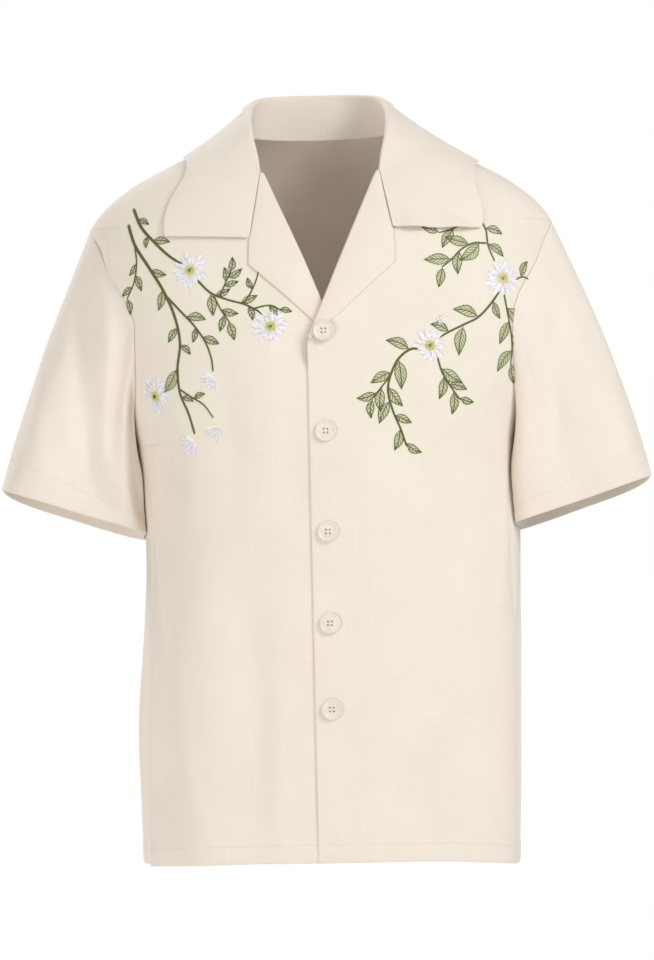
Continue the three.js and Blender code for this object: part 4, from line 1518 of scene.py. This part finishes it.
@dataclass
class Buttons:
    """Five sew-through buttons with four holes, a raised rim and their thread."""

    form: BodyForm
    finishes: Finishes
    heights: tuple[float, ...] = (-195.5, -290.5, -386, -473, -554.5)
    lift: float = 0.4
    first_lift: float = 2.4
    radius: float = 10
    thick: float = 3
    rim: float = 1.8
    dish: float = 0.8
    hole: float = 0.95
    hole_at: float = 1.75
    segments: int = 72

    def disc(self) -> bpy.types.Mesh:
        """The button's solid with its holes, its flat underside at the origin and its face to +Z."""
        top = self.thick
        inner = self.radius - self.rim
        profile = [
            (0.0, 0.0), (self.radius - 1.4, 0.0), (self.radius - 0.6, 0.18), (self.radius - 0.12, 0.75),
            (self.radius, 1.4), (self.radius - 0.12, top - 0.75), (self.radius - 0.5, top - 0.2),
            (self.radius - 1.0, top), (inner + 0.4, top - 0.02), (inner, top - 0.22), (inner - 0.45, top - 0.65),
            (inner - 1.0, top - self.dish), (inner - 3.0, top - self.dish - 0.08), (0.0, top - self.dish - 0.12),
        ]
        parts = MeshParts()
        turn = np.linspace(0, 2 * math.pi, self.segments, endpoint=False)
        radii, heights = (np.array(column) for column in zip(*profile[1:-1]))
        rings = np.stack(np.broadcast_arrays(
            radii[:, None] * np.cos(turn), radii[:, None] * np.sin(turn), heights[:, None]), axis=-1)
        faces = grid_faces(len(radii), self.segments, True).tolist()
        faces.append(list(range(self.segments))[::-1])
        last = (len(radii) - 1) * self.segments
        faces.append(list(range(last, last + self.segments)))
        points = rings.reshape(-1, 3)
        mesh = bpy.data.meshes.new("button_disc")
        mesh.from_pydata((points * MM).tolist(), [], faces)
        disc = linked("button_disc", mesh)
        drills = linked("button_drills", self.drills())
        cut = disc.modifiers.new("holes", "BOOLEAN")
        cut.operation = "DIFFERENCE"
        cut.solver = "EXACT"
        cut.object = drills
        bpy.context.view_layer.update()
        drilled = bpy.data.meshes.new_from_object(disc.evaluated_get(bpy.context.evaluated_depsgraph_get()))
        for piece in (disc, drills):
            bpy.data.objects.remove(piece)
        return drilled

    def drills(self) -> bpy.types.Mesh:
        """Four upright pins where the holes go."""
        sides = 20
        turn = np.linspace(0, 2 * math.pi, sides, endpoint=False)
        points, faces = [], []
        for x in (-self.hole_at, self.hole_at):
            for y in (-self.hole_at, self.hole_at):
                start = len(points)
                for z in (-1.0, self.thick + 1):
                    points.extend((x + self.hole * math.cos(t), y + self.hole * math.sin(t), z) for t in turn)
                faces.extend(grid_faces(2, sides, True, start).tolist())
                faces.append(list(range(start, start + sides))[::-1])
                faces.append(list(range(start + sides, start + 2 * sides)))
        mesh = bpy.data.meshes.new("button_drills")
        mesh.from_pydata((np.array(points) * MM).tolist(), [], faces)
        return mesh

    def stand(self, index: int) -> Matrix:
        """Where a button lies: its underside's middle, its face outward, its holes level."""
        z = self.heights[index]
        lift = self.first_lift if index == 0 else self.lift
        place = self.form.front(Side.LEFT, np.array(0.0), np.array(z), lift)
        out = Vector(self.form.normal(np.array(0.0), np.array(z)))
        right = Vector((1, 0, 0))
        up = out.cross(right).normalized()
        turn = Matrix((right, up, out)).transposed().to_4x4()
        return Matrix.Translation(Vector(place * MM)) @ turn

    def thread(self) -> MeshParts:
        """Two short bars of thread between the holes."""
        parts = MeshParts()
        floor = self.thick - self.dish - 0.1
        for y in (-self.hole_at, self.hole_at):
            for beside in (-0.28, 0.28):
                x = np.linspace(-self.hole_at - 0.15, self.hole_at + 0.15, 9)
                arch = 0.45 * np.sin(np.linspace(0, math.pi, 9)) ** 0.5 - 0.35
                path = np.stack([x, np.full(9, y + beside), floor + arch], axis=-1)
                parts.tube(path, np.tile([0.0, 0, 1], (9, 1)), 0.5, 0.5)
        return parts

    def build(self) -> None:
        """Make and sew on the five buttons."""
        disc = self.disc()
        resin = self.finishes(Finishes.RESIN)
        disc.materials.clear()
        disc.materials.append(resin)
        disc.shade_smooth()
        disc.set_sharp_from_angle(angle=40 * DEGREE)
        for index in range(len(self.heights)):
            matrix = self.stand(index)
            mesh = disc.copy()
            mesh.transform(matrix)
            piece = linked(f"drilled_button_{index + 1}", mesh)
            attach(piece, "root")
            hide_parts(f"button_{index + 1}")
            report(piece)
            thread = self.thread().object(f"button_thread_{index + 1}", [self.finishes(Finishes.SEWING)])
            thread.data.transform(matrix)
            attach(thread, "root")
            report(thread)


# ---------------------------------------------------------------- embroidery


@dataclass(frozen=True)
class Leaf:
    """One leaf: how far along its stem it grows, its side, length and angle off the stem."""

    at: float
    hand: int
    length: float
    spread: float = 48


@dataclass(frozen=True)
class Stem:
    """A stem through places seen from the front (x to the wearer's left, z up) with its leaves."""

    path: tuple[Point, ...]
    width: float = 2.0
    leaves: tuple[Leaf, ...] = ()


@dataclass(frozen=True)
class Flower:
    """A flower or bud: place, length of a petal, number of petals, turn, and how far round they go."""

    at: Point
    petal: float
    petals: int
    turn: float = 0
    fan: float = 360
    heart: float = 5.2


@dataclass(frozen=True)
class Spray:
    """One side's embroidery."""

    stems: tuple[Stem, ...]
    flowers: tuple[Flower, ...]


def row_of(start: float, end: float, count: int, length: float, end_length: float, first: int = 1,
           angle: float = 48) -> tuple[Leaf, ...]:
    """Leaves in turn on both sides of a stem.

    Args:
        start: where the first one grows.
        end: where the last one grows.
        count: how many there are.
        length: length of the first.
        end_length: length of the last.
        first: side of the first.
        angle: degrees off the stem.

    Returns:
        The leaves.
    """
    rows = []
    for k in range(count):
        part = k / max(1, count - 1)
        uneven = 1 + 0.12 * math.sin(2.4 * k + first)
        rows.append(Leaf(lerp(start, end, part), first * (-1) ** k, lerp(length, end_length, part) * uneven,
                         angle + 7 * math.sin(3.1 * k)))
    return tuple(rows)


RIGHT_SPRAY = Spray(
    stems=(
        Stem(((-181, -68), (-173, -88), (-160, -104), (-146, -118), (-132, -128)), 2.9,
             (Leaf(0.16, 1, 15, 40), Leaf(0.5, 1, 19, 38), Leaf(0.42, -1, 13))),
        Stem(((-186, -84), (-180, -104), (-166, -128), (-152, -152), (-142, -176), (-137, -202), (-140, -228),
              (-138, -250), (-130, -270), (-124, -290)), 2.9,
             (Leaf(0.24, 1, 18, 40), Leaf(0.34, -1, 21, 40), Leaf(0.52, -1, 18), Leaf(0.6, 1, 15),
              Leaf(0.7, -1, 29, 38), Leaf(0.83, 1, 14))),
        Stem(((-120, -142), (-106, -156), (-90, -163), (-74, -168), (-60, -176), (-52, -184)), 2.0,
             (Leaf(0.24, -1, 23, 50), Leaf(0.3, 1, 16), Leaf(0.62, 1, 18, 40), Leaf(0.72, -1, 15))),
        Stem(((-152, -154), (-136, -172), (-122, -188), (-112, -204), (-107, -220), (-106, -232)), 2.0,
             (Leaf(0.35, 1, 21, 36), Leaf(0.62, 1, 19, 34), Leaf(0.5, -1, 15))),
        Stem(((-180, -104), (-178, -124), (-181, -142), (-188, -158)), 1.6,
             row_of(0.35, 0.98, 4, 16, 17, -1, 32)),
        Stem(((-98, -160), (-92, -146), (-86, -134)), 1.5,
             (Leaf(0.4, -1, 15), Leaf(0.95, 1, 16, 22), Leaf(0.7, -1, 17, 28), Leaf(0.6, 1, 15, 34))),
        Stem(((-76, -168), (-68, -156), (-62, -142), (-60, -132)), 1.5, (Leaf(0.45, 1, 13),)),
        Stem(((-104, -158), (-96, -174), (-88, -186)), 1.5,
             (Leaf(0.5, 1, 18, 46), Leaf(0.96, -1, 20, 18), Leaf(0.7, -1, 17))),
        Stem(((-139, -246), (-128, -254), (-116, -262), (-106, -276)), 1.6, (Leaf(0.4, 1, 13),)),
        Stem(((-66, -172), (-48, -170), (-38, -176)), 1.5, (Leaf(0.5, -1, 14), Leaf(0.9, 1, 13, 24))),
    ),
    flowers=(
        Flower((-126, -133), 21, 15, 8), Flower((-50, -190), 20, 14, 30), Flower((-162, -252), 21, 16, 17),
        Flower((-59, -124), 16, 7, 62, 130, 0), Flower((-106, -238), 14, 7, 212, 150, 0),
        Flower((-125, -298), 17, 8, 205, 150, 0), Flower((-103, -284), 15, 7, 236, 120, 0),
    ),
)

LEFT_SPRAY = Spray(
    stems=(
        Stem(((150, -84), (158, -98), (160, -114), (166, -130)), 1.9,
             (Leaf(0.05, -1, 31, 118), Leaf(0.3, 1, 20), Leaf(0.62, 1, 21, 40))),
        Stem(((159, -112), (146, -112), (134, -118), (124, -128), (114, -136)), 1.8,
             row_of(0.12, 0.98, 5, 27, 24, 1, 40)),
        Stem(((150, -90), (138, -92), (126, -98), (112, -102)), 1.6, row_of(0.25, 0.98, 3, 23, 20, -1, 34)),
        Stem(((170, -158), (160, -172), (148, -184), (132, -192), (116, -200), (106, -206)), 2.2,
             (Leaf(0.16, 1, 19, 60), Leaf(0.4, -1, 27, 52), Leaf(0.62, 1, 30, 56), Leaf(0.8, -1, 20))),
        Stem(((174, -160), (177, -178), (180, -196), (181, -214), (179, -230)), 1.8,
             row_of(0.2, 0.97, 5, 27, 25, 1, 34)),
        Stem(((98, -216), (84, -214), (72, -222), (64, -236), (60, -252), (64, -272), (72, -292),
              (77, -308)), 2.2,
             row_of(0.14, 0.97, 8, 28, 19, -1, 42)),
        Stem(((108, -222), (112, -236), (120, -250), (130, -264)), 1.8,
             row_of(0.25, 0.97, 5, 25, 19, 1, 42)),
        Stem(((64, -238), (54, -250), (44, -262)), 1.5, row_of(0.5, 0.97, 3, 22, 20, 1, 36)),
        Stem(((184, -148), (194, -144), (202, -148)), 1.5, row_of(0.4, 0.97, 2, 18, 16, 1, 36)),
    ),
    flowers=(
        Flower((173, -146), 21.5, 14, 4, heart=6.2), Flower((101, -211), 19, 13, 21),
        Flower((112, -190), 10, 5, 84, 90, 0),
    ),
)


@dataclass
class Embroidery:
    """Flower sprays in satin and rope stitch, laid on the two fronts."""

    form: BodyForm
    finishes: Finishes
    seed: int = 7
    stem_height: float = 0.8
    outline: float = 0.7
    midrib: float = 0.8
    vein: float = 0.5
    heart_knots: int = 40
    eye_knots: int = 5
    wash: float = 0.55
    wash_reach: float = 9
    sprays: dict[Side, Spray] = field(
        default_factory=lambda: {Side.LEFT: LEFT_SPRAY, Side.RIGHT: RIGHT_SPRAY})

    def on_cloth(self, side: Side, angle: Array, z: Array, lift: Array | float = 0) -> Array:
        """Points on a front's cloth, at signed angles."""
        return self.form.place(angle, z, lift - self.form.under(side, np.abs(angle), z))

    def patch(self, side: Side, at: Point, place: Array, lift: Array | float = 0) -> Array:
        """Lay flat places on the cloth round an anchor.

        Args:
            side: which front.
            at: the anchor, seen from the front.
            place: millimetres to the wearer's left and up, as ... x 2.
            lift: height over the cloth.

        Returns:
            Points on the cloth.
        """
        z0 = np.array(float(at[1]))
        angle0 = self.form.angle_at(np.array(float(at[0])), z0)
        step = 1e-3
        around = (self.form.plain(angle0 + step, z0) - self.form.plain(angle0 - step, z0)) / (2 * step)
        up = (self.form.plain(angle0, z0 + 1) - self.form.plain(angle0, z0 - 1)) / 2
        first = unit(around)
        second = np.cross(self.form.normal(angle0, z0), first)
        basis = np.array([[around @ first, up @ first], [around @ second, up @ second]])
        offset = place @ np.linalg.inv(basis).T
        return self.on_cloth(side, angle0 + offset[..., 0], z0 + offset[..., 1], lift)

    def path(self, stem: Stem) -> Array:
        """A stem's places at even steps on a smooth line."""
        points = np.array(stem.path, float)
        walked = np.concatenate([[0], np.cumsum(np.hypot(*np.diff(points, axis=0).T))])
        fine = np.arange(0, walked[-1], 1.2)
        slopes = np.gradient(points, walked, axis=0)
        i = np.clip(np.searchsorted(walked, fine, side="right") - 1, 0, len(points) - 2)
        step = (walked[i + 1] - walked[i])[:, None]
        s = ((fine - walked[i])[:, None]) / step
        return ((2 * s**3 - 3 * s**2 + 1) * points[i] + (s**3 - 2 * s**2 + s) * step * slopes[i]
                + (3 * s**2 - 2 * s**3) * points[i + 1] + (s**3 - s**2) * step * slopes[i + 1])

    def grows(self, path: Array, leaf: Leaf) -> tuple[Array, float]:
        """Where on a stem's path a leaf starts, and its heading in degrees."""
        k = min(len(path) - 2, int(leaf.at * (len(path) - 1)))
        ahead = path[k + 1] - path[k]
        return path[k], math.degrees(math.atan2(ahead[1], ahead[0])) + leaf.hand * leaf.spread

    def rope(self, parts: MeshParts, points: Array, out: Array, width: Array | float, height: float,
             slot: int = 0) -> None:
        """Lay a thread or rope on points of the cloth."""
        parts.tube(points + out * height * 0.25, out, width, height, slot)

    def stem(self, parts: MeshParts, side: Side, stem: Stem) -> None:
        """Lay a stem as two ropes side by side that grow thinner."""
        places = self.path(stem)
        angle = self.form.angle_at(places[:, 0], places[:, 1])
        points = self.on_cloth(side, angle, places[:, 1])
        out = self.form.normal(angle, places[:, 1])
        across = unit(np.cross(out, np.gradient(points, axis=0)))
        width = stem.width * np.linspace(1.05, 0.75, len(points))
        for beside in (-0.22, 0.22):
            self.rope(parts, points + across * (width * beside)[:, None], out, width * 0.62, self.stem_height)

    def leaf(self, fills: MeshParts, lines: MeshParts, side: Side, at: Point, heading: float,
             length: float) -> None:
        """Sew one leaf: pale satin, a dark outline, a midrib and side veins.

        Args:
            fills: what its satin is gathered in.
            lines: what its lines are gathered in.
            side: which front.
            at: where its stalk starts, seen from the front.
            heading: degrees from the wearer's left, counter-clockwise as seen.
            length: from stalk to tip.
        """
        stalk = 0.1
        width = length * 0.38
        ahead, beside = axes(heading)
        curl = length * 0.09 * math.sin(7.3 * length + heading * DEGREE)

        def place(s: Array, c: Array) -> Array:
            """Flat places at a share of the length and a share of the half width."""
            held = np.clip(s, 0, 1)
            half = width / 2 * np.sin(math.pi * held**0.78) ** 1.2 * (1 + 0.07 * np.sin(held * length * 1.6))
            along = length * (stalk + (1 - stalk) * s)
            return along[..., None] * ahead + (half * c + curl * np.sin(math.pi * s))[..., None] * beside

        s, c = np.meshgrid(np.linspace(0.03, 0.98, 14), np.linspace(-0.96, 0.96, 9), indexing="ij")
        puff = 0.1 + 0.25 * (1 - np.abs(c) ** 1.5) * (1 - 0.75 * np.exp(-((c / 0.18) ** 2)))
        grid = self.patch(side, at, place(s, c), puff)
        off = np.abs(c) * width
        veined = np.stack([length * s + off * 0.5, length * s * 0.7 - off * 0.7], axis=-1)
        fills.shell(grid[:, ::-1], 0.25, uv=veined[:, ::-1])
        t = np.linspace(0, 1, 22)
        strokes = [(place(t, np.full(22, 1.0)), self.outline), (place(t, np.full(22, -1.0)), self.outline),
                   (place(np.linspace(-0.12, 0.97, 16), np.zeros(16)), self.midrib)]
        for share in np.arange(0.14, 0.72, 4.2 / length):
            for hand in (-1, 1):
                q = np.linspace(0, 1, 6)
                strokes.append((place(share + 0.03 * hand + 0.22 * q, hand * 0.84 * q), self.vein))
        out = self.out_at(side, at)
        for stroke, thread in strokes:
            points = self.patch(side, at, stroke, 0.25)
            self.rope(lines, points, np.tile(out, (len(points), 1)), thread, 0.5)

    def out_at(self, side: Side, at: Point) -> Array:
        """The cloth's outward direction at a place seen from the front."""
        z = np.array(float(at[1]))
        return self.form.normal(self.form.angle_at(np.array(float(at[0])), z), z)

    def petal(self, parts: MeshParts, side: Side, at: Point, heading: float, length: float,
              width: float, base: float, height: float) -> None:
        """Sew one petal: white satin with one grey line near a side and one near the middle.

        Args:
            parts: what it is gathered in.
            side: which front.
            at: the flower's middle, seen from the front.
            heading: degrees from the wearer's left, counter-clockwise as seen.
            length: from base to tip.
            width: at its widest.
            base: distance of its base from the middle.
            height: how high it is laid.
        """
        ahead, beside = axes(heading)

        def place(s: Array, c: Array) -> Array:
            """Flat places at a share of the length and a share of the half width."""
            half = width / 2 * np.sin(math.pi * (0.2 + 0.8 * np.clip(s, 0, 1)) ** 0.95) ** 1.1
            return (base + length * s)[..., None] * ahead + (half * c)[..., None] * beside

        s, c = np.meshgrid(np.linspace(0, 0.97, 9), np.linspace(-1, 1, 7), indexing="ij")
        dome = height + 0.5 * (1 - c**2) * np.sin(math.pi * (0.15 + 0.8 * s))
        grid = self.patch(side, at, place(s, c), dome)
        uv = np.stack([length * s, width * c / 2], axis=-1)
        parts.shell(grid[:, ::-1], 0.35, slot=0, uv=uv[:, ::-1])
        out = self.out_at(side, at)
        strokes = ((0.15, 0.85, 0.95, 0.28), (0.05, 0.55, 0.15, 0.26))
        for start, end, edge, thread in strokes:
            t = np.linspace(start, end, 8)
            lift = height + 0.5 * (1 - edge**2) + 0.1
            points = self.patch(side, at, place(t, np.full(8, edge)), lift)
            self.rope(parts, points, np.tile(out, (8, 1)), thread, 0.4, 1)

    def flower(self, parts: MeshParts, side: Side, flower: Flower, draw: np.random.Generator) -> None:
        """Sew a flower: two rounds of petals, a heart of knots and a dark eye."""
        base = flower.heart * 0.75 if flower.heart else 0.5
        for layer, (share, width) in enumerate(((1.0, 0.30), (0.7, 0.26))):
            for k in range(flower.petals - 2 * layer):
                step = flower.fan / (flower.petals - 2 * layer)
                heading = flower.turn - flower.fan / 2 + step * (k + 0.5 + 0.4 * layer)
                heading = heading + draw.uniform(-6, 6)
                length = (flower.petal - base) * share * draw.uniform(0.66, 1.12)
                wide = flower.petal * width * draw.uniform(0.7, 1.1)
                height = 0.1 + 0.4 * layer + 0.12 * (k % 2)
                self.petal(parts, side, flower.at, heading, length, wide, base, height)
        if not flower.heart:
            return
        out = self.out_at(side, flower.at)
        for k in range(self.heart_knots):
            radius = flower.heart * math.sqrt((k + 0.5) / self.heart_knots)
            turn = k * 2.4
            middle = np.array([radius * math.cos(turn), radius * math.sin(turn)])
            aside = 0.5 * np.array([math.cos(turn + 1), math.sin(turn + 1)])
            places = np.stack([middle + aside * q for q in (-1, -0.4, 0.4, 1)])
            points = self.patch(side, flower.at, places, 1.35)
            knot = (1.6, 1.7, 3) if k < self.eye_knots else (1.5, 1.0, 2)
            self.rope(parts, points, np.tile(out, (4, 1)), *knot)

    def washes(self) -> dict[Side, Callable[[Array], Array]]:
        """For each side, how strong the faint green wash is at some points of the front."""
        return {side: self._wash(side) for side in Side}

    def _wash(self, side: Side) -> Callable[[Array], Array]:
        """The wash of one side: strongest along the stems and the leaves."""
        places = []
        for stem in self.sprays[side].stems:
            path = self.path(stem)
            places.append(path[::4])
            for leaf in stem.leaves:
                start, heading = self.grows(path, leaf)
                places.append(start + leaf.length * np.array([[0.35], [0.8]]) * axes(heading)[0])
        middle = np.concatenate(places)

        def strength(grid: Array) -> Array:
            """Wash at each point of a grid."""
            flat = grid.reshape(-1, 3)
            total = np.zeros(len(flat))
            near = (flat[:, 2] > -340) & (flat[:, 2] < -50) & (flat[:, 1] < 0)
            apart = flat[near][:, None, (0, 2)] - middle[None]
            distance = np.sqrt((apart**2).sum(axis=-1)).min(axis=1)
            total[near] = self.wash * np.exp(-((distance / self.wash_reach) ** 2))
            return total.reshape(grid.shape[:2])

        return strength

    def build(self) -> None:
        """Embroider the two fronts."""
        draw = np.random.default_rng(self.seed)
        for side in Side:
            spray = self.sprays[side]
            stems, fills, lines, flowers = (MeshParts() for _ in range(4))
            for stem in spray.stems:
                self.stem(stems, side, stem)
                places = self.path(stem)
                for leaf in stem.leaves:
                    start, heading = self.grows(places, leaf)
                    self.leaf(fills, lines, side, tuple(start), heading, leaf.length)
            for flower in spray.flowers:
                self.flower(flowers, side, flower, draw)
            finishes = self.finishes
            dress(stems, f"stems_{side.word}", [finishes(Finishes.STEM)])
            dress(fills, f"leaves_{side.word}", [finishes(Finishes.LEAF)])
            dress(lines, f"leaf_lines_{side.word}", [finishes(Finishes.VEIN)])
            flower_finishes = (Finishes.PETAL, Finishes.LINE, Finishes.HEART, Finishes.EYE)
            dress(flowers, f"flowers_{side.word}", [finishes(finish) for finish in flower_finishes])


# ---------------------------------------------------------------- studio


@dataclass
class Studio:
    """Camera, soft lights, pale floor and white surround."""

    finishes: Finishes
    distance: float = 4.0
    height: float = -0.45
    aim: Point = (0.0003, -0.3333)
    middle: tuple[float, float, float] = (0, 0, -0.35)
    tilt: float = 1.3
    frame_height: float = 0.941
    floor: float = -1.45
    floor_radius: float = 3.0
    ambient: float = 0.5

    def camera(self) -> None:
        """Stand the camera in front, level with the middle of the hanging shirt."""
        data = bpy.data.cameras.new("camera")
        data.sensor_width = 36
        data.lens = data.sensor_width * self.distance / self.frame_height
        camera = linked("camera", data)
        place = Vector((self.aim[0], -self.distance, self.height))
        target = Vector((self.aim[0], 0, self.aim[1]))
        look = (target - place).to_track_quat("-Z", "Y").to_matrix().to_4x4()
        roll = Matrix.Rotation(-self.tilt * DEGREE, 4, "Z")
        camera.matrix_world = Matrix.Translation(place) @ look @ roll
        bpy.context.scene.camera = camera

    def light(self, name: str, place: Sequence[float], power: float, size: float,
              colour: Colour = (1, 1, 1)) -> None:
        """Hang a square soft light that looks at the shirt's middle."""
        data = bpy.data.lights.new(name, "AREA")
        data.energy = power
        data.size = size
        data.color = colour
        lamp = linked(name, data)
        lamp.location = place
        lamp.rotation_euler = (Vector(self.middle) - Vector(place)).to_track_quat("-Z", "Y").to_euler()

    def surround(self) -> None:
        """White to look at, and a softer even light from all round."""
        world = bpy.data.worlds.new("studio")
        bpy.context.scene.world = world
        world.use_nodes = True
        tree = world.node_tree
        tree.nodes.clear()
        out = tree.nodes.new("ShaderNodeOutputWorld")
        path = tree.nodes.new("ShaderNodeLightPath")
        mix = tree.nodes.new("ShaderNodeMixShader")
        tree.links.new(path.outputs["Is Camera Ray"], mix.inputs[0])
        for number, strength in ((1, self.ambient), (2, 1.0)):
            light = tree.nodes.new("ShaderNodeBackground")
            light.inputs[0].default_value = (1, 1, 1, 1)
            light.inputs[1].default_value = strength
            tree.links.new(light.outputs[0], mix.inputs[number])
        tree.links.new(mix.outputs[0], out.inputs[0])

    def ground(self) -> None:
        """Lay the round pale floor."""
        turn = np.linspace(0, 2 * math.pi, 96, endpoint=False)
        ring = np.stack([np.cos(turn) * self.floor_radius, np.sin(turn) * self.floor_radius,
                         np.full(96, self.floor)], axis=-1)
        mesh = bpy.data.meshes.new("floor")
        mesh.from_pydata(ring.tolist(), [], [list(range(96))])
        mesh.materials.append(self.finishes(PlainFinish("floor_paint", (0.86, 0.86, 0.86))))
        linked("floor", mesh)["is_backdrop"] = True

    def build(self) -> None:
        """Set up the studio."""
        self.camera()
        self.light("key", (2.35, -2.15, 1.5), 58, 1.4)
        self.light("low", (-1.9, -2.6, -0.9), 30, 1.8, (1, 0.965, 0.92))
        self.light("behind", (-1.7, 2.2, 1.6), 46, 1.6)
        self.surround()
        self.ground()
        bpy.context.scene.view_settings.view_transform = "Standard"


# ---------------------------------------------------------------- the shirt


def corners(box: object) -> list[list[float]]:
    """A box's two corners as plain numbers."""
    return [[float(value) for value in corner] for corner in box]


def main() -> None:
    """Build the shirt and its studio."""
    logging.basicConfig(level=logging.INFO, format="%(name)s: %(message)s")
    cad = corners(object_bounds())
    finishes = Finishes()
    Studio(finishes).build()
    form = BodyForm()
    embroidery = Embroidery(form, finishes)
    body = Body(form, finishes)
    body.build(embroidery.washes())
    Lapels(form, finishes).build()
    Collar(form, finishes).build()
    sleeves = Sleeves(form, finishes)
    sleeves.build()
    Sewing(form, body, sleeves, finishes).build()
    Buttons(form, finishes).build()
    embroidery.build()
    {"cad": cad, "visual": corners(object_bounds())}
    log.info("boxes written")


if __name__ == "__main__":
    main()
